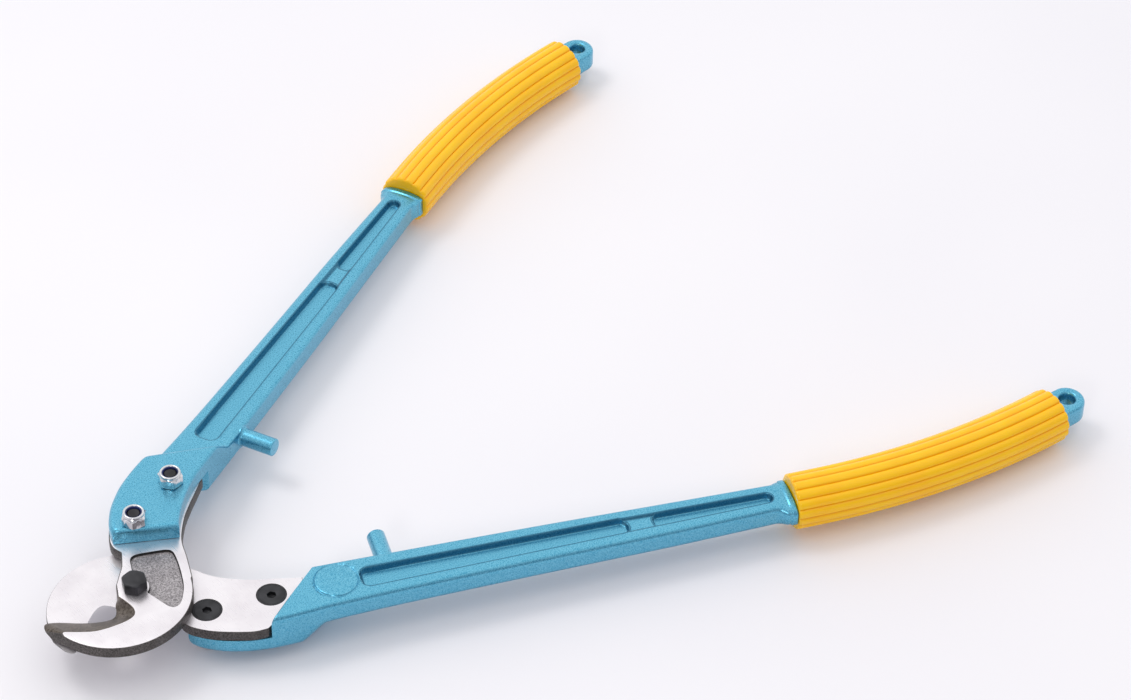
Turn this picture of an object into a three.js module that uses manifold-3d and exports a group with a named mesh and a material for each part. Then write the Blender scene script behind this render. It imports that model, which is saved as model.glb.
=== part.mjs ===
// Two-handed cable cutter: two hook blades on one pivot bolt, each bolted to a long cast handle
// with a ribbed grip, a stop peg and a hanging eye.
//
// Both halves are the same parts. A half is drawn in its own frame: the pivot axis is Z, +X runs
// from the pivot to the centre of the hanging eye, +Y points away from the other half, and Z = 0
// is the plane in which the two blades slide over each other. The upper half is turned up by the
// opening angle. The lower half is the same thing turned over about X.
// Millimetres, +Z up, origin under the centre of the whole tool, on the surface that it lies on.

import * as THREE from 'three';
import { mergeVertices } from 'three/addons/utils/BufferGeometryUtils.js';
import Module from 'manifold-3d';

const wasm = await Module();
wasm.setup();

// ---- Driving dimensions ------------------------------------------------------------------

const HALF_OPENING = THREE.MathUtils.degToRad(23.44);  // each half is turned out by this much
const EYE_DISTANCE = 560;        // pivot axis to hanging eye
const GAP = 0.3;                 // clearance between neighbouring pieces
const CUT_MARGIN = 1;            // how far a cutting tool reaches past the face that it opens

const BLADE_FACE = 0.15;         // each shear face stands this far off the shear plane
const BLADE_TOP = 7.2;           // outer face of a blade
const BACK_RADIUS = 42.3;        // round back of the hook
const BACK_CENTRE = [-8.6, 6.4];
const POCKET_DEPTH = 1.5;        // recess forged into the blade's outer face
const BOSS_RADIUS = 10.5;        // full-thickness boss left round the pivot

const PLATE_BASE = BLADE_TOP + GAP;
const PLATE_TOP = 17.5;          // outer face of the handle plate that clamps the blade
const PLATE_EDGE = 3;            // rounding of the plate's rim
const STEP_SLOPE = 0.9;          // run of the step for each millimetre that it drops to the bar
const BAR_HALF = 7.2;            // the handle bar is this thick either side of the shear plane
const BAR_EDGE = 2.4;            // rounding of the bar's long edges
const CHANNEL_FLOOR = 3.6;       // web between the two channels of the bar, half its thickness
const BAR_END = 369;             // where the bar widens into the oval flange
const FLANGE = { start: 371.5, end: 375.5, halfWidth: 15.6, halfHeight: 8.2 };
const FLANGE_NECK = { start: 362, end: 367, halfWidth: 10.2 };

const GRIP_AXIS_Y = 30.9;        // grip and bar share this centre line up to the bend
const GRIP_BEND_START = 392;
const GRIP_BEND_RADIUS = 472;
const GRIP_START = 376;
const GRIP_LENGTH = 176;
const GRIP_RADIUS = 16.5;        // over the ribs
const GRIP_GROOVE = 1.1;         // depth of the grooves between the ribs
const GRIP_RIBS = 16;
const TANG = { halfWidth: 11, halfHeight: 8 };
const TANG_INSET = 4;            // the tang starts inside the flange and stops inside the grip
const TRIM = GAP / 3;            // allowance left round the tang where the eye is cut back to it
const EYE = { hole: 4.8, radius: 10.6, halfHeight: 6.8, edge: 2, bevel: 1.2 };
const EYE_ROOT = 0.93;           // share of the grip's length at which the eye leaves the tang

const SCREWS = { front: [35.8, 21.2], rear: [72.9, 19.6] };
const THREAD_RADIUS = 4;         // M8
const HEAD_RADIUS = 8.4;         // countersunk head
const SOCKET_ACROSS_FLATS = 5;
const SOCKET_DEPTH = 2.6;
const SCREW_FACE = BLADE_FACE + 0.1;      // the head lies this far behind the shear plane
const SCREW_RIM = 0.4;           // upright rim of the countersunk head
const THREAD_CHAMFER = 0.8;
const THREAD_SHORT = 1.2;        // the thread ends this far below the top of its nut
const NUT = { acrossFlats: 13, height: 8, hexTop: 6.4, crownRadius: 6, crownWall: 0.6 };
const NUT_CHAMFER = { across: 0.9, along: 0.6, crown: 0.3 };
const RING_SEAT = NUT.hexTop - 0.6;       // the nylon ring's seat above the base of the nut
const RING_DROP = 0.4;           // the ring ends this far below the crown
const PIVOT_HEAD = { acrossFlats: 13, height: 7, chamfer: 0.6, chamferAcross: 1.3 };
const WASHER = { radius: 8.5, thickness: 1.6 };
const PIVOT_NUT_BASE = BLADE_TOP + GAP + WASHER.thickness + GAP;
const PEG = { x: 140.4, end: -9.2, root: 19.2, radius: 5.3, chamfer: 0.5 };
const CAST_DISC = { centre: [108.7, 25.9], radius: 12.3, height: 0.35 };

const ROUND = 20;                // sides of an ordinary round piece
const GRIP_STEPS = 10;           // facets along the grip
const SAME_POINT = 0.05;         // outline points closer than this are one point

const PAINT = { color: 0x3f9fc0, roughness: 0.38, metalness: 0.55 };
const GRIP_PVC = { color: 0xf6b800, roughness: 0.42, metalness: 0 };
const GROUND_STEEL = { color: 0xe4e3e6, roughness: 0.28, metalness: 0.9 };
const BLACK_OXIDE = { color: 0x2a2a2e, roughness: 0.45, metalness: 0.6 };
const ZINC = { color: 0xc9cdd0, roughness: 0.3, metalness: 0.9 };
const NYLON = { color: 0x1f2b52, roughness: 0.5, metalness: 0 };

// ---- Solids ------------------------------------------------------------------------------

const vectors = (pairs) => pairs.map(([x, y]) => new THREE.Vector2(x, y));

function solid(geometry) {
  const bare = geometry.clone();
  bare.deleteAttribute('normal');
  bare.deleteAttribute('uv');
  const merged = mergeVertices(bare);
  const triVerts = Uint32Array.from(merged.index.array);
  const vertProperties = Float32Array.from(merged.attributes.position.array);
  return new wasm.Manifold(new wasm.Mesh({ numProp: 3, vertProperties, triVerts }));
}

function geometryOf(manifold) {
  const mesh = manifold.getMesh();
  const geometry = new THREE.BufferGeometry();
  const positions = Float32Array.from(mesh.vertProperties);
  geometry.setAttribute('position', new THREE.BufferAttribute(positions, 3));
  geometry.setIndex(new THREE.BufferAttribute(Uint32Array.from(mesh.triVerts), 1));
  geometry.computeVertexNormals();
  return geometry;
}

const cutFrom = (body, tools) => tools.reduce((rest, tool) => rest.subtract(tool), body);
const joined = (bodies) => bodies.reduce((sum, body) => sum.add(body));

// A flat outline raised from z0 to z1. An edge radius rounds both rims inside that height.
function slab(outline, z0, z1, edge = 0, edgeSteps = 2) {
  const geometry = new THREE.ExtrudeGeometry(new THREE.Shape(outline), {
    depth: z1 - z0 - 2 * edge,
    bevelEnabled: edge > 0,
    bevelThickness: edge,
    bevelSize: edge,
    bevelOffset: -edge,
    bevelSegments: edgeSteps,
  });
  geometry.translate(0, 0, z0 + edge);
  return solid(geometry);
}

// A solid of revolution about Z from [radius, height] pairs, moved to a place in plan.
function turned(profile, [x, y] = [0, 0]) {
  const geometry = new THREE.LatheGeometry(vectors(profile), ROUND);
  geometry.rotateX(Math.PI / 2);
  geometry.translate(x, y, 0);
  return solid(geometry);
}

const rod = (radius, z0, z1, place) =>
  turned([[0, z0], [radius, z0], [radius, z1], [0, z1]], place);

const tube = (inner, outer, z0, z1, place) =>
  turned([[inner, z0], [outer, z0], [outer, z1], [inner, z1], [inner, z0]], place);

const cornerRadius = (acrossFlats) => acrossFlats / Math.sqrt(3);

function hexagon(acrossFlats, z0, z1, [x, y] = [0, 0]) {
  const corner = cornerRadius(acrossFlats);
  const geometry = new THREE.CylinderGeometry(corner, corner, z1 - z0, 6);
  geometry.rotateX(Math.PI / 2);
  geometry.translate(x, y, (z0 + z1) / 2);
  return solid(geometry);
}

// Skins a row of rings that hold the same number of points, and caps both ends.
function loft(rows) {
  const flat = (ring) => ring.map((point) => new THREE.Vector2(point.x, point.y));
  const clockwise = THREE.ShapeUtils.area(flat(rows[0])) < 0;
  const rings = clockwise ? rows.map((ring) => [...ring].reverse()) : rows;
  const count = rings[0].length;
  const positions = rings.flat().flatMap((point) => [point.x, point.y, point.z]);
  const index = [];
  for (let ring = 0; ring < rings.length - 1; ring += 1) {
    for (let i = 0; i < count; i += 1) {
      const next = (i + 1) % count;
      const low = ring * count;
      const high = low + count;
      index.push(low + i, low + next, high + next, low + i, high + next, high + i);
    }
  }
  const last = (rings.length - 1) * count;
  for (const [a, b, c] of THREE.ShapeUtils.triangulateShape(flat(rings[0]), [])) {
    index.push(a, c, b);
  }
  for (const [a, b, c] of THREE.ShapeUtils.triangulateShape(flat(rings.at(-1)), [])) {
    index.push(last + a, last + b, last + c);
  }
  const geometry = new THREE.BufferGeometry();
  geometry.setAttribute('position', new THREE.Float32BufferAttribute(positions, 3));
  geometry.setIndex(index);
  return solid(geometry);
}

// ---- Plan curves -------------------------------------------------------------------------

const curve = (pairs, steps) => new THREE.SplineCurve(vectors(pairs)).getPoints(steps);
const arc = ([x, y], radius, from, to, steps) =>
  new THREE.EllipseCurve(x, y, radius, radius, from, to, to < from).getPoints(steps);

// Joins stretches end to end and drops a point that repeats the one before it.
function chain(...stretches) {
  const points = stretches.flat();
  return points.filter((point, i) => {
    const before = points[(i + points.length - 1) % points.length];
    return point.distanceTo(before) > SAME_POINT;
  });
}

// A closed outline with every corner rounded by the same radius.
function roundedOutline(pairs, radius, steps = 3) {
  const corners = vectors(pairs);
  return corners.flatMap((corner, i) => {
    const before = corners[(i + corners.length - 1) % corners.length];
    const after = corners[(i + 1) % corners.length];
    const start = corner.clone().add(before.clone().sub(corner).setLength(radius));
    const end = corner.clone().add(after.clone().sub(corner).setLength(radius));
    return new THREE.QuadraticBezierCurve(start, corner, end).getPoints(steps);
  });
}

// Both long sides of the handle, from the plate's front edge to the flange.
const INNER_SIDE = [[45.1, -2.3], [51.5, 1.2], [60.7, 5], [70.9, 8.1], [82, 10.2], [94.5, 11],
  [125, 11.7], [150, 12.4], [230, 14.9], [300, 17.7], [BAR_END, 20.4]];
const OUTER_SIDE = [[23.2, 28.2], [28.6, 33.9], [38.7, 39.6], [49.2, 43], [60, 45], [75, 45.6],
  [90, 44.8], [105, 43.7], [150, 42.6], [230, 42.1], [300, 42], [BAR_END, 40.8]];

// The bar starts at a slanted shoulder just behind the slanted end of the blade.
const SHOULDER = { inner: [99.4, 9], outer: [66.9, 45.8] };
// The plate steps down to the bar along this line.
const STEP = { inner: [111.2, 11.6], outer: [86.6, 41.6] };

// ---- Blade -------------------------------------------------------------------------------

const JAW_STEPS = 18;

// The jaw is ground to a long bevel: on the shear face it ends in the cutting edge, and on the
// outer face in the edge of the throat. Both run from the pivot boss to the tip.
const CUTTING_EDGE = [[-7.6, 7.5], [-11.5, 6.2], [-15.6, 3.2], [-20, 2.2], [-25, 6], [-31, 15.3],
  [-36.6, 27.5], [-40, 32.8]];
const THROAT_EDGE = [[-10.4, 4.5], [-12.2, -2.3], [-14.6, -7.7], [-18.4, -10.4], [-24, -9],
  [-32.1, -3.6], [-38, 1.8], [-42, 8.2], [-46.2, 16.6]];
const TIP_ON_SHEAR_FACE = [[-40, 32.8], [-42.6, 33.2], [-46.4, 29.6], [-50.4, 21.5]];
const TIP_ON_OUTER_FACE = [[-46.2, 16.6], [-47.4, 17.4], [-48.6, 17], [-50, 15]];

function bladeRing(z, jaw, tip) {
  const back = arc(BACK_CENTRE, BACK_RADIUS, Math.PI * 0.96, Math.PI * 1.74, 24);
  const inner = curve([[21.1, -24.8], [34, -13.6], [44.6, -4], [58.8, 2.9], [69.6, 6.1], [80.5, 8.5],
    [92.6, 11.2]], 12);
  const tail = curve([[92.2, 13.8], [81.8, 26.6], [73.9, 35.6], [68.2, 42.2]], 3);
  const outer = curve([[65.2, 44.6], [58, 44.9], [49.5, 43], [39, 39.6], [31.3, 36.1], [24.2, 31.2],
    [20.8, 26.6]], 8);
  const neck = curve([[19.9, 21.1], [11.2, 15.5], [4.5, 13], [-2.9, 10.4]], 5);
  const jawPoints = curve(jaw, JAW_STEPS);
  const tipPoints = curve(tip, 4).slice(1);
  return [...jawPoints, ...tipPoints, ...back, ...inner.slice(1), ...tail, ...outer, ...neck]
    .map((point) => new THREE.Vector3(point.x, point.y, z));
}

// The recess in the outer face wraps round the pivot boss and follows the blade's rim.
function bladePocket() {
  const boss = arc([0, 0], BOSS_RADIUS, -Math.PI * 0.51, Math.PI * 0.21, 10);
  const shank = curve([[13.6, 10.8], [18, 14], [22.1, 13.2], [27.9, 7], [33.4, 0.2]], 8);
  const rim = curve([[34.4, -2.4], [33.3, -5.4], [28.2, -11.1], [20.3, -18.3], [12.7, -24.1],
    [3.5, -28.3], [-1, -28.9], [-3.8, -27]], 12);
  const side = curve([[-4, -23.8], [-2.6, -17.8]], 1);
  return slab(chain(boss, shank, rim, side), BLADE_TOP - POCKET_DEPTH, BLADE_TOP + CUT_MARGIN);
}

// Clearance for a countersunk screw, opening on the shear face.
function screwHole(place) {
  const wide = HEAD_RADIUS + GAP;
  const bore = THREAD_RADIUS + GAP;
  const seat = BLADE_FACE + GAP;
  return turned([
    [0, -CUT_MARGIN], [wide, -CUT_MARGIN], [wide, seat],
    [bore, seat + wide - bore], [bore, PLATE_TOP], [0, PLATE_TOP],
  ], place);
}

function blade() {
  const body = loft([
    bladeRing(BLADE_FACE, CUTTING_EDGE, TIP_ON_SHEAR_FACE),
    bladeRing(BLADE_TOP, THROAT_EDGE, TIP_ON_OUTER_FACE),
  ]);
  const pivotHole = rod(THREAD_RADIUS + GAP, -CUT_MARGIN, BLADE_TOP + CUT_MARGIN);
  return cutFrom(body, [bladePocket(), pivotHole, ...Object.values(SCREWS).map(screwHole)]);
}

// ---- Handle ------------------------------------------------------------------------------

// Centre line of the grip and of the tang inside it: straight, then a wide bend towards the eye.
class GripLine extends THREE.Curve {
  constructor(start, length) {
    super();
    this.start = start;
    this.length = length;
  }

  getPoint(t, target = new THREE.Vector3()) {
    const along = this.start + t * this.length - GRIP_BEND_START;
    if (along <= 0) {
      return target.set(GRIP_BEND_START + along, GRIP_AXIS_Y, 0);
    }
    const turn = along / GRIP_BEND_RADIUS;
    return target.set(
      GRIP_BEND_START + GRIP_BEND_RADIUS * Math.sin(turn),
      GRIP_AXIS_Y - GRIP_BEND_RADIUS * (1 - Math.cos(turn)),
      0,
    );
  }
}

// A section swept along the grip line. Its x is the tool's thickness and its y is its width.
function sweep(section, start, length, holes = []) {
  const shape = new THREE.Shape(section);
  shape.holes = holes.map((hole) => new THREE.Path(hole));
  const extrudePath = new GripLine(start, length);
  return solid(new THREE.ExtrudeGeometry(shape, { steps: GRIP_STEPS, extrudePath }));
}

const oval = (halfHeight, halfWidth) =>
  new THREE.EllipseCurve(0, 0, halfHeight, halfWidth, 0, 2 * Math.PI).getPoints(ROUND).slice(1);

// A channel along one face of the bar, as a prism that reaches out past that face.
function channel([x0, low0, high0], [x1, low1, high1], radius, side) {
  const outline = roundedOutline([[x0, low0], [x1, low1], [x1, high1], [x0, high0]], radius);
  const reach = BAR_HALF + CUT_MARGIN;
  return side > 0 ? slab(outline, CHANNEL_FLOOR, reach) : slab(outline, -reach, -CHANNEL_FLOOR);
}

const handleOutline = () => chain(curve(INNER_SIDE, 22), curve([...OUTER_SIDE].reverse(), 24));

function plate() {
  const outline = chain(curve(INNER_SIDE.slice(0, 6), 10), vectors([STEP.inner, STEP.outer]),
    curve([[80, 45.2], ...OUTER_SIDE.slice(0, 5).reverse()], 8));
  // Behind the step line a wedge slopes down to the bar, no wider than the handle itself.
  const [innerEnd, outerEnd] = vectors([STEP.inner, STEP.outer]);
  const along = outerEnd.clone().sub(innerEnd);
  const away = new THREE.Vector2(along.y, -along.x).normalize();
  const drop = PLATE_TOP - BAR_HALF;
  const corner = (end, distance, z) => {
    const point = end.clone().addScaledVector(away, distance);
    return new THREE.Vector3(point.x, point.y, z);
  };
  const wedgeRing = (run, z) => [
    corner(innerEnd, -drop, z),
    corner(innerEnd, run, z),
    corner(outerEnd, run, z),
    corner(outerEnd, -drop, z),
  ];
  const wedge = loft([wedgeRing(drop * STEP_SLOPE, BAR_HALF - CUT_MARGIN), wedgeRing(0, PLATE_TOP)]);
  const withinHandle = slab(handleOutline(), 0, PLATE_TOP, PLATE_EDGE);
  return joined([slab(outline, 0, PLATE_TOP, PLATE_EDGE), wedge.intersect(withinHandle)]);
}

// Everything in front of the slanted shoulder and below the plate belongs to the blade.
function bladeSeat() {
  const outline = vectors([[0, -20], [130, -25], SHOULDER.inner, SHOULDER.outer, [50, 70], [0, 60]]);
  return slab(outline, -BAR_HALF - CUT_MARGIN, PLATE_BASE);
}

function flange() {
  const neck = oval(BAR_HALF, FLANGE_NECK.halfWidth);
  const rim = oval(FLANGE.halfHeight, FLANGE.halfWidth);
  const ring = (points, along) =>
    points.map((point) => new THREE.Vector3(point.x, point.y + GRIP_AXIS_Y, along));
  const body = loft([
    ring(neck, FLANGE_NECK.start),
    ring(neck, FLANGE_NECK.end),
    ring(rim, FLANGE.start),
    ring(rim, FLANGE.end),
  ]);
  // The rings are stacked along Z: turn that axis to lie along X.
  return body.rotate([0, 90, 0]);
}

function eye() {
  const end = new GripLine(GRIP_START, GRIP_LENGTH).getPoint(EYE_ROOT);
  const turn = (end.x - GRIP_BEND_START) / GRIP_BEND_RADIUS;
  const across = new THREE.Vector2(Math.sin(turn), Math.cos(turn)).multiplyScalar(TANG.halfWidth);
  const root = new THREE.Vector2(end.x, end.y);
  const outline = [
    root.clone().sub(across),
    ...arc([EYE_DISTANCE, 0], EYE.radius, -Math.PI * 0.58, Math.PI * 0.36, 14),
    root.clone().add(across),
  ];
  return slab(outline, -EYE.halfHeight, EYE.halfHeight, EYE.edge);
}

// The hanging hole, with a bevel round both mouths.
function eyeBore() {
  const mouth = EYE.hole + EYE.bevel;
  const straight = EYE.halfHeight - EYE.bevel;
  return turned([
    [0, -BAR_HALF], [mouth, -BAR_HALF], [mouth, -EYE.halfHeight], [EYE.hole, -straight],
    [EYE.hole, straight], [mouth, EYE.halfHeight], [mouth, BAR_HALF], [0, BAR_HALF],
  ], [EYE_DISTANCE, 0]);
}

// Takes the root of the eye back to the oval of the tang, along the length of the grip.
function gripTrim() {
  const hole = oval(TANG.halfHeight + TRIM, TANG.halfWidth + TRIM);
  const outer = oval(GRIP_RADIUS + GAP, GRIP_RADIUS + GAP);
  return sweep(outer, GRIP_START - GAP, GRIP_LENGTH + 2 * GAP, [hole]);
}

function pegHole() {
  const radius = PEG.radius + GAP;
  const length = PEG.root + GAP - PEG.end;
  const geometry = new THREE.CylinderGeometry(radius, radius, length, ROUND);
  return solid(geometry.translate(PEG.x, PEG.end + length / 2, 0));
}

function handle() {
  const bar = slab(handleOutline(), -BAR_HALF, BAR_HALF, BAR_EDGE);
  const tangSection = oval(TANG.halfHeight, TANG.halfWidth);
  const tang = sweep(tangSection, GRIP_START - TANG_INSET, GRIP_LENGTH - TANG_INSET);
  const disc = rod(CAST_DISC.radius, -BAR_HALF - CAST_DISC.height, 0, CAST_DISC.centre);
  const channels = [1, -1].flatMap((side) => [
    channel([122.5, 20.6, 35.2], [279, 23.4, 34.9], 5, side),
    channel([293, 24.8, 34.6], [363, 27, 34.4], 3, side),
  ]);
  const holes = Object.values(SCREWS).map((place) =>
    rod(THREAD_RADIUS + GAP, 0, PLATE_TOP + CUT_MARGIN, place));
  const body = joined([bar, plate(), flange(), tang, eye().subtract(gripTrim()), disc]);
  return cutFrom(body, [bladeSeat(), eyeBore(), pegHole(), ...channels, ...holes]);
}

// ---- Grip, peg and fasteners -------------------------------------------------------------

function grip() {
  const ribs = Array.from({ length: GRIP_RIBS * 2 }, (_, i) => {
    const radius = i % 2 === 0 ? GRIP_RADIUS : GRIP_RADIUS - GRIP_GROOVE;
    const angle = i / GRIP_RIBS * Math.PI;
    return new THREE.Vector2(radius * Math.cos(angle), radius * Math.sin(angle));
  });
  const bore = oval(TANG.halfHeight + GAP, TANG.halfWidth + GAP);
  return sweep(ribs, GRIP_START, GRIP_LENGTH, [bore]);
}

function stopPeg() {
  const length = PEG.root - PEG.end;
  const profile = [
    [0, 0], [PEG.radius - PEG.chamfer, 0], [PEG.radius, PEG.chamfer], [PEG.radius, length], [0, length],
  ];
  const geometry = new THREE.LatheGeometry(vectors(profile), ROUND);
  return solid(geometry.translate(PEG.x, PEG.end, 0));
}

// Countersunk socket screw: head flush with the shear face, thread through the plate and nut.
function countersunkScrew(place) {
  const rim = SCREW_FACE + SCREW_RIM;
  const end = PLATE_TOP + GAP + NUT.height - THREAD_SHORT;
  const body = turned([
    [0, SCREW_FACE], [HEAD_RADIUS, SCREW_FACE], [HEAD_RADIUS, rim],
    [THREAD_RADIUS, rim + HEAD_RADIUS - THREAD_RADIUS], [THREAD_RADIUS, end - THREAD_CHAMFER],
    [THREAD_RADIUS - THREAD_CHAMFER, end], [0, end],
  ], place);
  const socket = hexagon(SOCKET_ACROSS_FLATS, SCREW_FACE - CUT_MARGIN, SCREW_FACE + SOCKET_DEPTH, place);
  return body.subtract(socket);
}

// Lock nut: a chamfered hexagon with a round crown that is rolled over a nylon ring.
function lockNut(base, place) {
  const corner = cornerRadius(NUT.acrossFlats);
  const bore = THREAD_RADIUS + GAP;
  const inside = NUT.crownRadius - NUT.crownWall;
  const { across, along, crown } = NUT_CHAMFER;
  const profile = [
    [bore, 0], [corner - across, 0], [corner, along],
    [corner, NUT.hexTop - along], [NUT.crownRadius + crown, NUT.hexTop],
    [NUT.crownRadius, NUT.hexTop + crown],
    [NUT.crownRadius, NUT.height - crown], [NUT.crownRadius - crown, NUT.height],
    [inside, NUT.height], [inside, RING_SEAT], [bore, RING_SEAT], [bore, 0],
  ];
  const raised = profile.map(([radius, height]) => [radius, base + height]);
  const prism = hexagon(NUT.acrossFlats, base - CUT_MARGIN, base + NUT.height + CUT_MARGIN, place);
  return turned(raised, place).intersect(prism);
}

const nutRing = (base, place) =>
  tube(THREAD_RADIUS + GAP, NUT.crownRadius - NUT.crownWall - GAP,
    base + RING_SEAT + GAP, base + NUT.height - RING_DROP, place);

// The pivot bolt passes down through both blades, so it is drawn with its head up.
function pivotBolt() {
  const corner = cornerRadius(PIVOT_HEAD.acrossFlats);
  const { chamfer, chamferAcross } = PIVOT_HEAD;
  const base = BLADE_TOP + GAP;
  const top = base + PIVOT_HEAD.height;
  const end = THREAD_SHORT - PIVOT_NUT_BASE - NUT.height;
  const head = turned([
    [0, base], [corner - chamfer, base], [corner, base + chamfer], [corner, top - chamfer],
    [corner - chamferAcross, top], [0, top],
  ]);
  const shank = turned([
    [0, end], [THREAD_RADIUS - THREAD_CHAMFER, end], [THREAD_RADIUS, end + THREAD_CHAMFER],
    [THREAD_RADIUS, base + chamfer], [0, base + chamfer],
  ]);
  const prism = hexagon(PIVOT_HEAD.acrossFlats, base - CUT_MARGIN, top + CUT_MARGIN);
  return head.intersect(prism).add(shank);
}

const pivotWasher = () =>
  tube(THREAD_RADIUS + GAP, WASHER.radius, BLADE_TOP + GAP, BLADE_TOP + GAP + WASHER.thickness);

// ---- Assembly ----------------------------------------------------------------------------

function piece(name, body, finish) {
  const mesh = new THREE.Mesh(geometryOf(body), new THREE.MeshStandardMaterial(finish));
  mesh.name = name;
  return mesh;
}

function half(side) {
  const group = new THREE.Group();
  group.add(
    piece(`${side}_blade`, blade(), GROUND_STEEL),
    piece(`${side}_handle`, handle(), PAINT),
    piece(`${side}_grip`, grip(), GRIP_PVC),
    piece(`${side}_stop_peg`, stopPeg(), PAINT),
  );
  for (const [position, place] of Object.entries(SCREWS)) {
    group.add(
      piece(`${side}_${position}_screw`, countersunkScrew(place), BLACK_OXIDE),
      piece(`${side}_${position}_nut`, lockNut(PLATE_TOP + GAP, place), ZINC),
      piece(`${side}_${position}_nut_ring`, nutRing(PLATE_TOP + GAP, place), NYLON),
    );
  }
  group.rotation.z = HALF_OPENING;
  return group;
}

const upperHalf = half('upper');
const lowerHalf = new THREE.Group();
lowerHalf.add(half('lower'));
lowerHalf.rotation.x = Math.PI;

const pivot = new THREE.Group();
pivot.add(piece('pivot_bolt', pivotBolt(), BLACK_OXIDE));
const underside = new THREE.Group();
underside.add(
  piece('pivot_washer', pivotWasher(), ZINC),
  piece('pivot_nut', lockNut(PIVOT_NUT_BASE), ZINC),
  piece('pivot_nut_ring', nutRing(PIVOT_NUT_BASE), NYLON),
);
underside.rotation.x = Math.PI;
pivot.add(underside);

const cutter = new THREE.Group();
cutter.add(upperHalf, lowerHalf, pivot);
cutter.updateMatrixWorld(true);
const box = new THREE.Box3().setFromObject(cutter, true);
cutter.position.set(-(box.min.x + box.max.x) / 2, -(box.min.y + box.max.y) / 2, -box.min.z);
cutter.updateMatrixWorld(true);

export default cutter;
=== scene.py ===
import logging
from dataclasses import dataclass
from enum import Enum
from typing import Callable

import bmesh
import bpy
import numpy as np
from mathutils import Matrix, Vector
from mathutils.geometry import delaunay_2d_cdt


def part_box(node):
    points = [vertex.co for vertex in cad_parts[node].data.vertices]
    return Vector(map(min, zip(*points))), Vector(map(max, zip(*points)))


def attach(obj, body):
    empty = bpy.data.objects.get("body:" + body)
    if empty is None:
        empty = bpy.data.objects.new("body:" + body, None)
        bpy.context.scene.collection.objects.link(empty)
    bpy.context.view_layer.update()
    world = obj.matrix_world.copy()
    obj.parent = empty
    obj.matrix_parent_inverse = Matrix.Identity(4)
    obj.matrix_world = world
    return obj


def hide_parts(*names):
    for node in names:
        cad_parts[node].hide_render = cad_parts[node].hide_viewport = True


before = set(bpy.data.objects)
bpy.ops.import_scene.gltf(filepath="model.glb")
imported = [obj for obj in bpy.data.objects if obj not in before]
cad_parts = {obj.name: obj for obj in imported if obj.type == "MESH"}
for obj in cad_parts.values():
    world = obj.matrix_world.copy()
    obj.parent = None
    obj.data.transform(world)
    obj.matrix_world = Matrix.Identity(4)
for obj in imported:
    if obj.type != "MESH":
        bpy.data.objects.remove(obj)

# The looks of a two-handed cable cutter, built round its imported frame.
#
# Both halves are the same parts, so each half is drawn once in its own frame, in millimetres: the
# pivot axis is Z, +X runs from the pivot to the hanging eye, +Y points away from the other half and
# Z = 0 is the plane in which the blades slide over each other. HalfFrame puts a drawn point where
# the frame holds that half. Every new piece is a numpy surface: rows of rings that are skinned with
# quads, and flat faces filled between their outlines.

LOG = logging.getLogger("cable_cutter")

MM = 0.001
QUARTER_TURN = np.pi / 2
FULL_TURN = 2 * np.pi
# Name of the point attribute that holds each point's share of painted shade.
PAINTED_SHADE = "painted_shade"

# Points of an outline that are closer than this, in millimetres, are one point.
SAME_POINT = 0.03
# Points of a mesh that are closer than WELD are joined and edges shorter than SLIVER go, in metres.
WELD = 2e-6
SLIVER = 1e-6
# A nut stands NUT_GAP above the face below it. NUT_BASE is the blades' nuts' height over the shear
# plane, in millimetres, and NUT_TURNS is how far the front and the rear one are turned, in degrees.
NUT_GAP = 0.3
NUT_BASE = 17.8
NUT_TURNS = (55.6, 17.6)

Array = np.ndarray
Place = Callable[[Array], Array]
Pair = tuple[float, float]
Line = tuple[Pair, Pair]
Material = bpy.types.Material
Tree = bpy.types.NodeTree
Socket = bpy.types.NodeSocket


class Side(Enum):
    """The two halves of the cutter. The value starts the names of the half's CAD nodes."""

    UPPER = "upper"
    LOWER = "lower"


# ---- Curves and small formulas ------------------------------------------------------------------


def spline(pairs: list[list[float]], steps: int) -> Array:
    """A uniform Catmull-Rom curve through the given points.

    Each span is a cubic whose slope at a point is half the way from the point before it to the
    point after it. At both ends the missing neighbour is the end point itself.

    Args:
        pairs: the points that the curve passes through, as x and y.
        steps: how many equal steps of the parameter the whole curve is cut into.

    Returns:
        The points of the curve, one row each.
    """
    knots = np.asarray(pairs, float)
    t = np.linspace(0, len(knots) - 1, steps + 1)
    i = np.minimum(t.astype(int), len(knots) - 2)
    w = (t - i)[:, None]
    before, after = knots[np.maximum(i - 1, 0)], knots[np.minimum(i + 2, len(knots) - 1)]
    a, b = knots[i], knots[i + 1]
    slope_a, slope_b = (b - before) / 2, (after - a) / 2
    cubic = (2 * (a - b) + slope_a + slope_b) * w**3
    return cubic + (3 * (b - a) - 2 * slope_a - slope_b) * w**2 + slope_a * w + a


def arc(centre: Pair, radius: float, start: float, end: float, steps: int) -> Array:
    """Points on a circle from one angle to another.

    Args:
        centre: centre of the circle.
        radius: its radius.
        start: first angle, in radians.
        end: last angle, in radians.
        steps: number of equal steps between them.

    Returns:
        The points, one row each.
    """
    angle = np.linspace(start, end, steps + 1)
    return np.column_stack([centre[0] + radius * np.cos(angle), centre[1] + radius * np.sin(angle)])


def chain(*stretches: Array) -> Array:
    """Joins stretches into one closed outline and drops points that repeat their neighbour."""
    points = np.vstack(stretches)
    gap = np.linalg.norm(points - np.roll(points, 1, axis=0), axis=1)
    return points[gap > SAME_POINT]


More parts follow.
